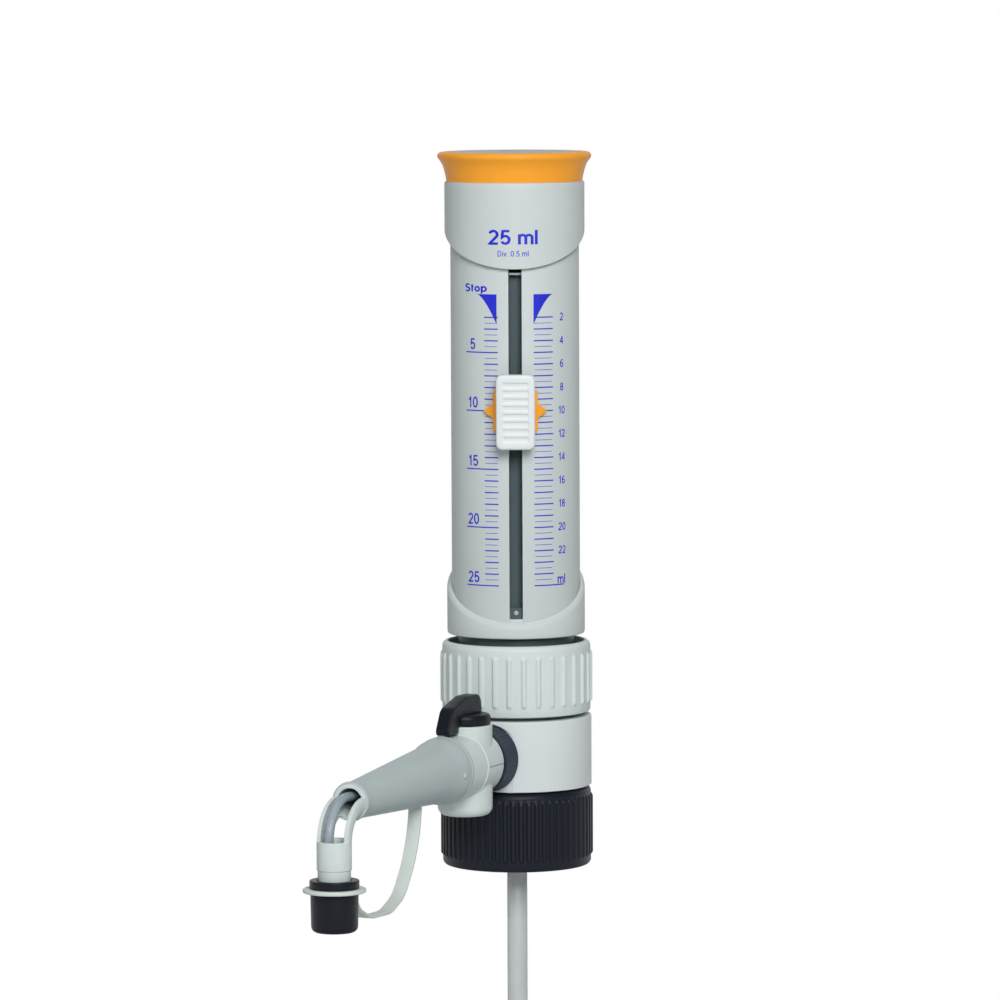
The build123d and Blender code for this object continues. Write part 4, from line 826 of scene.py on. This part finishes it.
class DISPENSER_OT_block(Builder):
    """Build the valve block and a band of painted shade over its neck thread"""

    bl_idname = "dispenser.block"
    bl_label = "Valve Block"

    def build(self):
        low, top = 27.7, 52.0
        corners = [(7.0, 24.3), (16.7, 24.3), (16.7, low), (BLOCK_RADIUS, low, 0.4), (BLOCK_RADIUS, top, 0.5)]
        corners += [(22.0, top), (22.0, 66.0, 0.6), (14.0, 66.0), (14.0, 56.6), (2.6, 56.6), (2.6, 35.3), (7.0, 35.3)]
        piece = turned_tool(corners, 256)
        recess = NUT_RADIUS + 0.35
        start, past = BLOCK_RADIUS - 1.75, BLOCK_RADIUS + 3
        combine(piece, turned_tool(rectangle(0, recess, start, past), 128, laid))
        points, faces = box_mesh(-recess, recess, -40, 0, start, past)
        across = [tuple(side_view(z, y + SPOUT_Z, x)) for x, y, z in points]
        combine(piece, tool_from(across, faces))
        combine(piece, turned_tool(rectangle(0, 6.0, 12.3, start + 1), 96, laid))
        complete(piece, "block_shell", "block_light", "block", "valve_block", 0.22)
        # Painted shade: a dark band over the neck's thread that stands for the shadow in the gap between the block
        # and the locking ring.
        thread = rectangle(21.9, 22.12, top + 0.05, top + 1.6)
        turned_piece("neck_thread_painted_shade", thread, "jacket_slate", "block")


class DISPENSER_OT_inlet(Builder):
    """Build the suction tube and the inlet fitting"""

    bl_idname = "dispenser.inlet"
    bl_label = "Inlet"

    def build(self):
        top, end = node_high("suction_tube").z, node_low("suction_tube").z
        radius, bore, slope = 3.5, 2.3, math.tan(math.radians(35))

        def slanted(angle, r, z):
            rise = (r * math.cos(angle) + radius) * slope
            return r, z + (rise if z < end + 0.1 else 0)

        corners = [(bore, end), (radius, end), (radius, end + 9), (radius, top - 0.4), (3.25, top), (2.45, top)]
        corners += [(bore, top - 0.2), (bore, end + 9)]
        turned_piece("dip_tube", corners, "tube_clear", "block", ["suction_tube"], 96, slanted)
        flange, cap = node_high("inlet_valve").z, node_low("inlet_valve").z
        low = 20.7
        corners = [(1.6, cap), (1.9, cap), (bore, cap + 1.5), (bore, low), (9.0, low, 0.5), (9.0, 23.7), (7.0, 23.7)]
        corners += [(7.0, flange), (1.6, flange)]
        piece = turned_tool(corners, 128)
        reach = 8.37 / math.cos(math.pi / 6)
        turns = [math.radians(60 * i) for i in range(6)]
        hexagon = [(reach * math.cos(turn), reach * math.sin(turn)) for turn in turns]
        combine(piece, slab_tool(hexagon, low - 20, 40, level), "INTERSECT")
        complete(piece, "inlet_fitting", "valve_clear", "block", "inlet_valve", 0.15)


class DISPENSER_OT_locking_ring(Builder):
    """Build the ribbed locking ring"""

    bl_idname = "dispenser.locking_ring"
    bl_label = "Locking Ring"

    def build(self):
        crest = sizes().ring_radius / MM
        height = 0.75
        core = crest - height
        low, top = node_low("locking_ring").z, node_high("locking_ring").z
        start, end = low + 2.9, top - 3.2
        count = sizes().ring_ribs

        def ribbed(angle, r, z):
            if r < core - 0.02 or not start <= z <= end:
                return r, z
            ends = smoothstep(start, start + 1.3, z) * (1 - smoothstep(end - 1.6, end, z))
            return r + height * ends * ridge(angle, count, 0.3, 0.09), z

        steps = [start + 1.6 * i / 6 for i in range(7)] + [end - 1.9 + 1.9 * i / 7 for i in range(8)]
        corners = [(22.3, low + 0.3), (22.6, low), (core - 0.9, low), (core - 0.25, low + 0.25), (core, low + 0.9)]
        corners += [(core, z) for z in steps]
        corners += [(core, top - 2.0), (core - 0.12, top - 1.3), (core - 0.5, top - 0.6), (core - 1.1, top - 0.15)]
        corners += [(core - 1.7, top), (23.8, top), (23.5, top - 0.3), (23.5, 72.3), (20.3, 72.3), (20.3, 68.7)]
        corners += [(22.3, 68.7)]
        nodes = ["locking_ring"]
        turned_piece("locking_ring_shell", corners, "ring_pale", "locking_ring", nodes, count * 24, ribbed)


class DISPENSER_OT_barrel(Builder):
    """Build the dark jacket tube and the stop ring that show through the slot"""

    bl_idname = "dispenser.barrel"
    bl_label = "Barrel"

    def build(self):
        top = node_high("barrel_jacket").z
        flange_low, flange_high, shoulder = 66.0, 68.4, 82.7
        bore, stop_bore, base = 16.2, 14.9, 20.0
        corners = [(11.1, flange_low), (21.8, flange_low, 0.3), (21.8, flange_high, 0.3), (base, flange_high)]
        corners += [(base, shoulder, 0.8), (JACKET_RADIUS, shoulder), (JACKET_RADIUS, top), (bore, top)]
        corners += [(bore, flange_high), (11.1, flange_high)]
        turned_piece("jacket_tube", corners, "jacket_slate", "block", ["barrel_jacket", "barrel_clamp"])
        corners = [(stop_bore, top - 4), (bore, top - 4), (bore, top), (19.95, top, 0.2), (19.95, top + 1.6, 0.4)]
        corners += [(stop_bore, top + 1.6, 0.3)]
        turned_piece("stop_bar", corners, "nut_dark", "block", ["stop_ring"])
        band = [(19.6, top + 0.45), (20.0, top + 0.45, 0.1), (20.0, top + 1.15, 0.1), (19.6, top + 1.15)]
        turned_piece("stop_band", band, "ring_pale", "block")


def lip_rise(y, radius):
    """How far a sloping lip has risen at this y, from the front of that radius."""
    return math.tan(sizes().lip_slope) * (radius + y)


class DISPENSER_OT_sleeve(Builder):
    """Build the slotted sleeve, the foot collar and the head shell"""

    bl_idname = "dispenser.sleeve"
    bl_label = "Sleeve"

    def build(self):
        low, top = node_low("scale_sleeve").z, node_high("scale_sleeve").z
        piece = turned_tool(rectangle(SLEEVE_BORE, SLEEVE_RADIUS, low, top), 256)
        half = sizes().slot_width / MM / 2
        outline = rounded(rectangle(-half, half, 87.1, 213.0, 0.4), 3)
        combine(piece, slab_tool(outline, -30, 0, upright))
        complete(piece, "sleeve_tube", "shell_grey", "sleeve", "scale_sleeve", 0.18)

        bottom, front = node_low("foot_collar").z, 86.1

        def foot_lip(angle, r, z):
            return (r, z) if z < front - 2.2 else (r, z + lip_rise(r * math.sin(angle), SLEEVE_RADIUS))

        outer, inner = FOOT_RADIUS, SLEEVE_RADIUS + 0.02
        corners = [(20.4, bottom + 0.3), (20.7, bottom), (outer - 0.9, bottom), (outer - 0.25, bottom + 0.3)]
        corners += [(outer, bottom + 1.0), (outer, front - 2.5), (outer, front - 1.7), (outer - 0.1, front - 1.25)]
        corners += [(outer - 0.35, front - 0.75), (outer - 0.8, front - 0.25), (outer - 1.2, front - 0.05)]
        corners += [(SLEEVE_RADIUS + 0.1, front), (inner, front - 0.4), (inner, front - 2.5), (inner, 83.0)]
        corners += [(20.4, 83.0)]
        turned_piece("foot_shell", corners, "shell_grey", "sleeve", ["foot_collar"], 256, foot_lip)

        roof, edge = node_high("head_shell").z, 206.9

        def head_lip(angle, r, z):
            return (r, z) if z > edge + 1.2 else (r, z + lip_rise(r * math.sin(angle), HEAD_RADIUS))

        outer = HEAD_RADIUS
        corners = [(11.0, 234.5), (inner, 234.5), (inner, edge + 0.9), (inner, edge + 0.25), (inner + 0.2, edge)]
        corners += [(outer - 0.55, edge), (outer - 0.2, edge + 0.08), (outer, edge + 0.4), (outer, edge + 1.1)]
        corners += [(outer, 234.2), (outer, roof - 0.55), (outer - 0.2, roof - 0.15), (outer - 0.6, roof)]
        corners += [(11.0, roof)]
        turned_piece("head_cover", corners, "shell_grey", "sleeve", ["head_shell"], 256, head_lip)

        pin_low, pin_high = node_low("bush_pin"), node_high("bush_pin")
        pin_z, length = (pin_low.z + pin_high.z) / 2, 2.4
        profile = [(0, 0), (0.8, 0), (0.8, 2.1), (0.65, 2.3), (0.3, length), (0, length)]
        points, faces = lathe_mesh(profile, 32)
        placed = [(x, pin_low.y + length - z, pin_z + y) for x, y, z in points]
        piece_from("slot_pin", placed, faces, "disc_grey", "sleeve", ["bush_pin"])


class DISPENSER_OT_grip(Builder):
    """Build the flared grip ring and the disc in its top"""

    bl_idname = "dispenser.grip"
    bl_label = "Grip"

    def build(self):
        low, high, flare_height = node_low("grip_ring").z, 246.6, 10.1
        flare = [(23.4, 0.0), (23.7, 1.75), (24.2, 3.9), (24.8, 5.7), (25.6, 7.0), (26.2, 7.8), (26.48, 8.3)]
        flare += [(26.53, 8.75), (26.42, 9.25), (26.1, 9.65), (25.6, 9.95), (24.8, flare_height)]
        flare += [(23.3, flare_height), (22.95, 9.9), (22.9, 8.1), (20.6, 8.1), (20.6, 0.0)]
        corners = [(r, low + z * (high - low) / flare_height) for r, z in flare]
        turned_piece("grip_flare", corners, "grip_orange", "sleeve", ["grip_ring"], steps=256)
        seat, crown = node_low("top_disc").z, node_high("top_disc").z
        corners = [(0, seat), (22.75, seat), (22.75, crown - 0.65), (22.55, crown - 0.42), (22.2, crown - 0.36)]
        corners += [(17.0, crown - 0.2), (11.0, crown - 0.09), (5.0, crown - 0.02), (0, crown)]
        turned_piece("top_plate", corners, "disc_grey", "sleeve", ["top_disc"], steps=192)


class DISPENSER_OT_scale(Builder):
    """Print the dosing scale on the sleeve"""

    bl_idname = "dispenser.scale"
    bl_label = "Scale"

    def build(self):
        chosen = sizes()
        zero, pitch, full = chosen.scale_zero / MM, chosen.volume_pitch / MM, chosen.full_volume
        half, radius = chosen.line_width / MM / 2, SLEEVE_RADIUS + INK_PROUD
        lines = []
        for volume in range(2, full + 1):
            z, between, thin = zero - volume * pitch, zero - volume * pitch - pitch / 2, half * 0.45
            left_start = -16.7 if volume % 5 == 0 else -10.6
            right_end = 16.4 if volume == full else 12.9
            spans = [(left_start, -5.9, z - half, z + half), (6.3, right_end, z - half, z + half)]
            if volume < full:
                spans += [(start, end, between - thin, between + thin) for start, end in ((-10.4, -6.2), (6.6, 12.4))]
            lines += [wrapped_patch(*span, radius) for span in spans]
        print_piece("scale_lines", lines, "sleeve")

        fives, twos = range(5, full + 1, 5), range(2, full - 2, 2)
        numbers = [wrapped_text(str(ml), -15.8, zero - ml * pitch + 2.9, 3.8, radius) for ml in fives]
        numbers += [wrapped_text(str(ml), 17.7, zero - ml * pitch, 2.7, radius) for ml in twos]
        numbers.append(wrapped_text("ml", 17.3, zero - full * pitch + 2.0, 3.3, radius))
        numbers.append(wrapped_text("Stop", -14.6, zero + 2.1, 2.7, radius, 9.2, 0.2))
        print_piece("scale_numbers", numbers, "sleeve")

        flags, flag_top = [], zero - 0.1
        for side in (-1, 1):
            edges = []
            for share in (column / 16 for column in range(17)):
                angle = math.asin((side * 6.3 + side * 6.7 * share) / radius)
                edges.append((angle, flag_top, flag_top - max(10.3 * (1 - share) ** 1.5, 0.02)))
            flags.append(wrapped_strip(edges, radius))
        print_piece("scale_flags", flags, "sleeve")

        on_head = HEAD_RADIUS + INK_PROUD
        badge = wrapped_text("25 ml", -0.6, 218.1, 5.0, on_head, 17.0, 0.17)
        division = wrapped_text("Div. 0.5 ml", -0.6, 212.5, 2.0, on_head, 10.7, 0.13)
        print_piece("volume_badge", [badge, division], "sleeve")


class DISPENSER_OT_selector(Builder):
    """Build the pointer plate and the ribbed button"""

    bl_idname = "dispenser.selector"
    bl_label = "Selector"

    def build(self):
        centre = (node_low("pointer_plate").z + node_high("pointer_plate").z) / 2
        wide, tall, tip, tip_half = 7.67, 7.2, 10.95, 2.5
        right = [(wide, -tall, 1.2), (wide, -tip_half, 0.4), (tip, 0, 0.35), (wide, tip_half, 0.4), (wide, tall, 1.2)]
        left = [(-x, y, radius) for x, y, radius in reversed(right)]
        outline = rounded([(x, centre + y, radius) for x, y, radius in left[-1:] + right + left[:-1]], 4)
        piece = slab_tool(outline, -40, -5, upright)
        combine(piece, turned_tool(rectangle(22.45, 23.7, centre - 12, centre + 12), 360), "INTERSECT")
        combine(piece, tool_from(*box_mesh(-4.9, 4.9, -27.0, -23.2, centre - 6, centre + 6)), "UNION")
        combine(piece, tool_from(*box_mesh(-1.9, 1.9, -28, -18, centre - 2.8, centre + 2.8)))
        complete(piece, "pointer", "grip_orange", "selector", "pointer_plate", 0.14)

        wide, tall, edge, wall = 6.7, 12.8, 0.9, 1.3
        face, back = node_low("selector_button").y, node_high("selector_button").y
        rows = [(0.0, 0.0)]
        rows += [
            (back - face - edge + edge * math.sin(a), edge * (1 - math.cos(a))) for a in (0, 0.4, 0.8, 1.2, 1.57)
        ]
        rings = []
        for depth, inset in rows:
            sides = (-wide + inset, wide - inset, centre - tall + inset, centre + tall - inset)
            outline = rounded(rectangle(*sides, 2.2 - inset * 0.7), 8)
            rings.append([(x, back - depth, z) for x, z in outline])
        piece = tool_from(*skin(rings))
        sides = (-wide + wall, wide - wall, back - 2.9, back + 1, centre - tall + wall, centre + tall - wall)
        combine(piece, tool_from(*box_mesh(*sides)))
        grooves = []
        pitch, half, reach = 2.64, 0.78, 4.35
        for middle in (centre + (index - 3.5) * pitch for index in range(8)):
            outline = rounded(rectangle(-reach, reach, middle - half, middle + half, 0.4), 3)
            grooves.append(slab_mesh(outline, face - 1, face + 0.4, upright))
        combine(piece, tool_from(*joined(grooves)))
        complete(piece, "button_cover", "button_white", "selector_button", "selector_button", 0.12)


class DISPENSER_OT_nut(Builder):
    """Build the dark ring nut of the spout"""

    bl_idname = "dispenser.nut"
    bl_label = "Spout Nut"

    def build(self):
        start, end, outer = 24.6, 35.0, NUT_RADIUS
        count = sizes().nut_grooves

        def grooved(angle, r, z):
            if r < outer - 0.01 or not start + 0.7 <= z <= end - 0.7:
                return r, z
            return r - 0.2 * ridge(angle, count, 0.4, 0.12), z

        corners = [(8.5, start), (outer - 0.5, start), (outer, start + 0.5), (outer, start + 0.71)]
        corners += [(outer, start + 1.0), (outer, end - 1.0), (outer, end - 0.71), (outer, end - 0.5)]
        corners += [(outer - 0.5, end), (7.3, end), (7.3, end - 2.5), (8.5, end - 2.5)]
        turned_piece("nut_ring", corners, "nut_dark", "jet_nut", ["jet_nut"], count * 10, grooved, laid)


class DISPENSER_OT_stopcock(Builder):
    """Build the stopcock's body, knob and lever"""

    bl_idname = "dispenser.stopcock"
    bl_label = "Stopcock"

    def build(self):
        tube = [(0, 29.2), (8.2, 29.2), (8.2, 32.2), (7.0, 32.2), (7.0, 35.3), (11.25, 35.3, 1.2), (11.25, 48.3)]
        tube += [(11.5, 48.5, 0.1), (11.5, 49.3, 0.1), (11.25, 49.5), (10.85, 60.8), (9.6, 60.8), (9.6, 65.8)]
        piece = turned_tool(tube + [(0, 65.8)], 160, laid)
        tap = turned_tool([(0, 22.2), (9.35, 22.2, 3.0), (9.35, 53.2, 0.5), (0, 53.2)], 160, on_tap, 8)
        combine(tap, turned_tool(rectangle(0, NUT_RADIUS + 0.3, 24, 35.3), 96, laid))
        combine(piece, tap, "UNION")
        combine(piece, turned_tool(rectangle(0, 6.05, 26.2, 60), 96, on_tap))
        slit = rectangle(35.0, 48.2, SPOUT_Z - 0.15, SPOUT_Z + 0.15)
        for middle in (-11.4, 11.4):
            combine(piece, slab_tool(slit, middle - 0.9, middle + 0.9, side_view))
        complete(piece, "tap_housing", "tap_pale", "block", "stopcock_body", 0.18, 38)

        low, top = 53.5, 57.0
        piece = turned_tool([(0, low), (8.8, low, 0.4), (8.8, top, 1.4), (0, top)], 128, on_tap, 6)
        lever = [(34.6, low + 1), (35.0, 63.1, 4.0), (46.0, 63.1, 8.0), (58.3, 60.0, 5.0), (62.2, 53.0, 1.2)]
        lever += [(61.8, 51.3, 0.5), (53.9, 51.3, 0.5), (53.3, low + 0.6)]
        fin = slab_tool(rounded(lever, 8), -2.5, 2.5, side_view)
        soften(fin, 0.9, 4, 50)
        combine(piece, fin, "UNION")
        square = rectangle(-3.3, 3.3, -3.3, 3.3)
        combine(piece, slab_tool(square, 50, 56.9, lambda x, y, z: side_view(TAP_AT + x, z, y)))
        complete(piece, "tap_knob", "cap_black", "stopcock", "stopcock_knob")


class DISPENSER_OT_jet(Builder):
    """Build the tapered shroud, the open elbow and the thin jet tube"""

    bl_idname = "dispenser.jet"
    bl_label = "Jet"

    def build(self):
        start, end, wall = SHROUD_START, SHROUD_END, 1.2

        def sloped(points):
            """Lays the shroud out along the spout, a little lower at its far end."""
            placed = []
            for x, y, s in points:
                drop = (SHROUD_END_Z - SPOUT_Z) * (min(s, end) - start) / (end - start)
                placed.append(tuple(side_view(s, x + SPOUT_Z + drop, -y)))
            return placed

        cone_start, big, small = start + 10.0, 10.05, 6.0
        cone = [(big + (small - big) * i / 12, cone_start + (end - cone_start) * i / 12) for i in range(13)]
        band = [(11.1, start), (11.5, start + 0.3), (11.5, start + 1.2), (11.3, start + 1.5), (11.3, start + 3.0)]
        band += [(11.1, start + 5.0), (10.6, start + 7.2)]
        rim = [(6.02, end - 0.2), (6.5, end - 0.1), (6.55, end + 0.5), (6.4, end + 1.1), (5.9, end + 1.25)]
        inner = [(9.65, start), (9.65, start + 5.0)] + [(r - wall, s) for r, s in cone]
        piece = turned_tool(band + cone[:-1] + rim + [(4.8, end + 1.2)] + inner[::-1], 128, sloped)
        for edge in (-1, 1):
            points, faces = lathe_mesh(rounded([(0, 10.0), (1.1, 10.0), (1.1, 11.2, 0.5), (0, 11.5)]), 24)
            pip = [tuple(side_view(start + 6.0 + x, SPOUT_Z - 0.7 + y, edge * z)) for x, y, z in points]
            combine(piece, tool_from(pip, faces), "UNION")
        complete(piece, "shroud_cone", "shroud_grey", "block", "jet_shroud", 0.12)

        bend_start, bend_z = NOZZLE_AT - ELBOW_BEND, SHROUD_END_Z - ELBOW_BEND
        path = [(end - 3.5, SHROUD_END_Z), (bend_start - 0.05, SHROUD_END_Z)]
        path += arc((bend_start, bend_z), ELBOW_BEND, 90, 0, 32)[1:]
        path += [(NOZZLE_AT, z) for z in (bend_z - 2, 17.3, 17.0, 1.0)]
        piece = pipe_tool(path, [5.75] * (len(path) - 2) + [5.45, 5.45], 64)
        combine(piece, pipe_tool([(end - 5, SHROUD_END_Z)] + path[1:-3] + [(NOZZLE_AT, 4.0)], 4.5, 48))
        combine(piece, pipe_tool([(NOZZLE_AT, 8.0), (NOZZLE_AT, -1.0)], 2.55))
        cut, mouth, sill = ELBOW_BEND + 1.6, end + 1.5, 26.5
        angle_low = math.degrees(math.asin((sill - bend_z) / cut))
        angle_high = math.degrees(math.acos((mouth - bend_start) / cut))
        window = [(mouth, 60), (170, 60), (170, sill)] + arc((bend_start, bend_z), cut, angle_low, angle_high, 24)
        combine(piece, slab_tool(window, -12, 12, side_view))
        combine(piece, slab_tool(rectangle(136.5, 146.0, 27.0, 33.5), -2.9, 2.9, side_view))
        complete(piece, "elbow_pipe", "tap_pale", "block", "jet_elbow", 0.16, 38)

        reach, bend, aside = 148.8, 13.5, 1.0
        path = [(57.8, SPOUT_Z), (100.0, SPOUT_Z), (reach - bend - 0.05, SPOUT_Z)]
        path += arc((reach - bend, SPOUT_Z - bend), bend, 90, 0, 24)[1:] + [(reach, 14.0), (reach, 2.5)]
        piece = pipe_tool(path, 1.55)
        combine(piece, pipe_tool([(reach, 8.0), (reach, 1.0)], 1.0, 24))
        piece.data.transform(Matrix.Translation(SPOUT_SIDE * aside * MM))
        complete(piece, "inner_jet", "tube_blue", "block", "jet_tube")


def strap_path():
    """The strap's line in the spout's plane, from the shroud's underside to the cap's ring."""
    ring_back = NOZZLE_AT - 10.35 + 0.6
    corners = [(84.0, 30.0), (85.4, 20.8, 40), (90.5, 10.8, 30), (98.0, 1.6, 14), (108.0, -2.2, 14)]
    corners += [(ring_back - 14.0, -1.8, 14), (ring_back - 4.6, 2.3, 9), (ring_back, 10.5)]
    return rounded(corners, 8, closed=False)


class DISPENSER_OT_cap(Builder):
    """Build the nozzle cap, its ring and the strap"""

    bl_idname = "dispenser.cap"
    bl_label = "Nozzle Cap"

    def build(self):
        low, top = node_low("nozzle_cap").z, node_high("nozzle_cap").z
        ring_low, ring_high = node_low("strap_ring").z, node_high("strap_ring").z
        corners = [(0, low), (7.65, low, 2.0), (7.9, ring_low, 0.15), (7.2, ring_low), (7.2, ring_high)]
        corners += [(8.15, ring_high, 0.25), (8.15, top, 0.35), (5.75, top, 0.3), (5.75, low + 2.2), (0, low + 2.2)]
        turned_piece("cap_cup", corners, "cap_black", "cap", ["nozzle_cap"], 160, place=on_nozzle)
        corners = [(7.2, ring_low), (10.35, ring_low, 0.45), (10.35, ring_high, 0.45), (7.2, ring_high)]
        turned_piece("strap_loop", corners, "strap_pale", "cap", ["strap_ring"], 128, place=on_nozzle)
        section = rounded(rectangle(-0.45, 0.45, -2.35, 2.35, 0.2), 3)
        piece = bare_piece("strap_band", *pipe_mesh(strap_path(), 0, section=section))
        give_looks(piece, "strap_pale")
        first, last = side_view(84.0, 28.0) * MM, side_view(NOZZLE_AT - 9.0, 10.5) * MM
        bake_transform(piece)
        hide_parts("cap_strap")


class DISPENSER_OT_springs(Builder):
    """Build the outlet coil and the button's leaf springs"""

    bl_idname = "dispenser.springs"
    bl_label = "Springs"

    def build(self):
        start, end, wire = 20.0, 26.7, 0.5
        points, faces = helix_ridge(2.0, 0.3, (end - start) / 4, start, end, wire)
        piece = piece_from("outlet_coil", laid(points), faces, "steel", "block", ["outlet_spring"])
        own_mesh(piece)

        low, high = node_low("selector_springs"), node_high("selector_springs")
        leaf, width, half = 0.3, 2.0, high.x - 0.05
        rise = high.y - low.y - leaf
        bow_line = [(half * i / 12, high.y - rise * (1 - (i / 12) ** 2)) for i in range(-12, 13)]
        outline = bow_line + [(x, y - leaf) for x, y in reversed(bow_line)]
        strips = [slab_mesh(outline, bottom, bottom + width, level) for bottom in (low.z, high.z - width)]
        points, faces = joined(strips)
        piece = piece_from("button_leaves", points, faces, "steel", "selector_button", ["selector_springs"])
        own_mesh(piece)


HIDDEN_FINISHES = {
    "retaining_plate": "block_light",
    "retainer_screws": "steel",
    "neck_seal": "seal_white",
    "inlet_seal": "seal_white",
    "inlet_ball": "ball_glass",
    "barrel_seal": "seal_white",
    "glass_barrel": "glass",
    "barrel_guide": "seal_white",
    "foot_bush": "jacket_slate",
    "head_screws": "steel",
    "volume_rack": "jacket_slate",
    "plunger_hub": "jacket_slate",
    "plunger_rod": "seal_white",
    "piston_seal": "seal_white",
    "selector_shoe": "jacket_slate",
    "selector_pawl": "button_white",
    "outlet_valve": "valve_clear",
    "outlet_ball": "ball_glass",
    "outlet_seal": "seal_white",
    "stopcock_key": "seal_white",
}


class DISPENSER_OT_inner_parts(Builder):
    """Dress the CAD solids that stay as they are"""

    bl_idname = "dispenser.inner_parts"
    bl_label = "Inner Parts"

    def build(self):
        for node, finish in HIDDEN_FINISHES.items():
            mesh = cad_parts[node].data
            mesh.materials.clear()
            mesh.materials.append(finish_named(finish))


class DISPENSER_OT_stage(Builder):
    """Set up the floor, the backdrop, the lights and the camera"""

    bl_idname = "dispenser.stage"
    bl_label = "Stage"

    def build(self):
        scene = bpy.context.scene
        self.backdrop()
        self.world(scene)
        self.lamp("key", (0.25, -1.6, 0.95), 26.0)
        self.lamp("side", (-1.5, -0.6, 0.6), 2.5)
        self.lamp("top", (0.0, -0.1, 1.5), 3.0)
        camera = bpy.data.cameras.new("camera")
        camera.lens, camera.sensor_width = 220.1, 36.0
        camera.clip_start, camera.clip_end = 0.05, 40.0
        holder = placed_object("camera", camera)
        pitch, roll = math.radians(-4.80), math.radians(-0.25)
        holder.matrix_world = (
            Matrix.Translation(Vector((-5.4, -2105.0, 303.1)) * MM)
            @ Matrix.Rotation(math.pi / 2 + pitch, 4, "X")
            @ Matrix.Rotation(roll, 4, "Z")
        )
        scene.camera = holder
        scene.view_settings.view_transform = "Standard"

    def backdrop(self):
        """A sheet that runs level under the object and curves up behind it."""
        floor_z = -0.2
        rows = [(-6.0, floor_z), (-2.0, floor_z), (0.0, floor_z), (2.0, floor_z)]
        rows += [(2.0 + 2.0 * math.sin(a), floor_z + 2.0 * (1 - math.cos(a))) for a in (0.3, 0.6, 0.9, 1.2, 1.57)]
        rows += [(4.0, 5.0)]
        points = [(x, y, z) for y, z in rows for x in (-6.0, 6.0)]
        faces = [[2 * i, 2 * i + 1, 2 * i + 3, 2 * i + 2] for i in range(len(rows) - 1)]
        mesh = bpy.data.meshes.new("backdrop")
        mesh.from_pydata(points, [], faces)
        mesh.shade_smooth()
        sheet = placed_object("backdrop", mesh)
        paper = Finish("backdrop_paper")
        path = paper.node("ShaderNodeLightPath").outputs
        seen = Value(paper, path["Is Camera Ray"]) + Value(paper, path["Is Glossy Ray"])
        seen = (seen + Value(paper, path["Is Transmission Ray"])).clamped()
        x, y = paper.part_of(0), paper.part_of(1)
        away = (x * x + y * y) ** 0.5
        white = paper.node("ShaderNodeEmission", {}, {"Color": (1, 1, 1, 1), "Strength": 1.0})
        matte = paper.node("ShaderNodeBsdfDiffuse", {}, {"Color": (0.7, 0.71, 0.72, 1)})
        share = seen * away.between(0.25, 0.75)
        both = paper.node("ShaderNodeMixShader", {}, {0: share, 1: matte.outputs[0], 2: white.outputs[0]})
        paper.node("ShaderNodeOutputMaterial", {}, {"Surface": both.outputs[0]})
        mesh.materials.append(paper.material)

    def world(self, scene):
        world = bpy.data.worlds.new("studio")
        scene.world = world
        world.use_nodes = True
        tree = world.node_tree
        tree.nodes.clear()
        light = tree.nodes.new("ShaderNodeBackground")
        light.inputs["Color"].default_value = (0.93, 0.96, 1.0, 1.0)
        light.inputs["Strength"].default_value = 0.15
        out = tree.nodes.new("ShaderNodeOutputWorld")
        tree.links.new(light.outputs[0], out.inputs[0])

    def lamp(self, name, place, power):
        """A square soft box that is aimed at the dispenser."""
        light = bpy.data.lights.new(name, "AREA")
        light.shape, light.size, light.energy = "SQUARE", 0.8, power
        holder = placed_object(name, light)
        holder.location = place
        holder.rotation_euler = (Vector((0, 0, 0.1)) - Vector(place)).to_track_quat("-Z", "Y").to_euler()


OPERATORS = (
    DISPENSER_OT_collar,
    DISPENSER_OT_block,
    DISPENSER_OT_inlet,
    DISPENSER_OT_locking_ring,
    DISPENSER_OT_barrel,
    DISPENSER_OT_sleeve,
    DISPENSER_OT_grip,
    DISPENSER_OT_scale,
    DISPENSER_OT_selector,
    DISPENSER_OT_nut,
    DISPENSER_OT_stopcock,
    DISPENSER_OT_jet,
    DISPENSER_OT_cap,
    DISPENSER_OT_springs,
    DISPENSER_OT_inner_parts,
    DISPENSER_OT_stage,
)


class DISPENSER_PT_panel(bpy.types.Panel):
    """Lists the dispenser's sizes, colours and builders"""

    bl_label = "Dispenser"
    bl_idname = "DISPENSER_PT_panel"
    bl_space_type = "VIEW_3D"
    bl_region_type = "UI"
    bl_category = "Dispenser"

    def draw(self, context):
        for group in (context.scene.dispenser_sizes, context.scene.dispenser_colours):
            box = self.layout.box()
            for name in group.bl_rna.properties.keys():
                if name not in ("rna_type", "name"):
                    box.prop(group, name)
        for operator in OPERATORS:
            self.layout.operator(operator.bl_idname)


CLASSES = (DispenserSizes, DispenserColours, *OPERATORS, DISPENSER_PT_panel)


def register():
    for entry in CLASSES:
        bpy.utils.register_class(entry)
    bpy.types.Scene.dispenser_sizes = bpy.props.PointerProperty(type=DispenserSizes)
    bpy.types.Scene.dispenser_colours = bpy.props.PointerProperty(type=DispenserColours)


def unregister():
    del bpy.types.Scene.dispenser_colours
    del bpy.types.Scene.dispenser_sizes
    for entry in reversed(CLASSES):
        bpy.utils.unregister_class(entry)


def main():
    register()
    for operator in OPERATORS:
        group, name = operator.bl_idname.split(".")
        getattr(getattr(bpy.ops, group), name)()


if __name__ == "__main__":
    main()
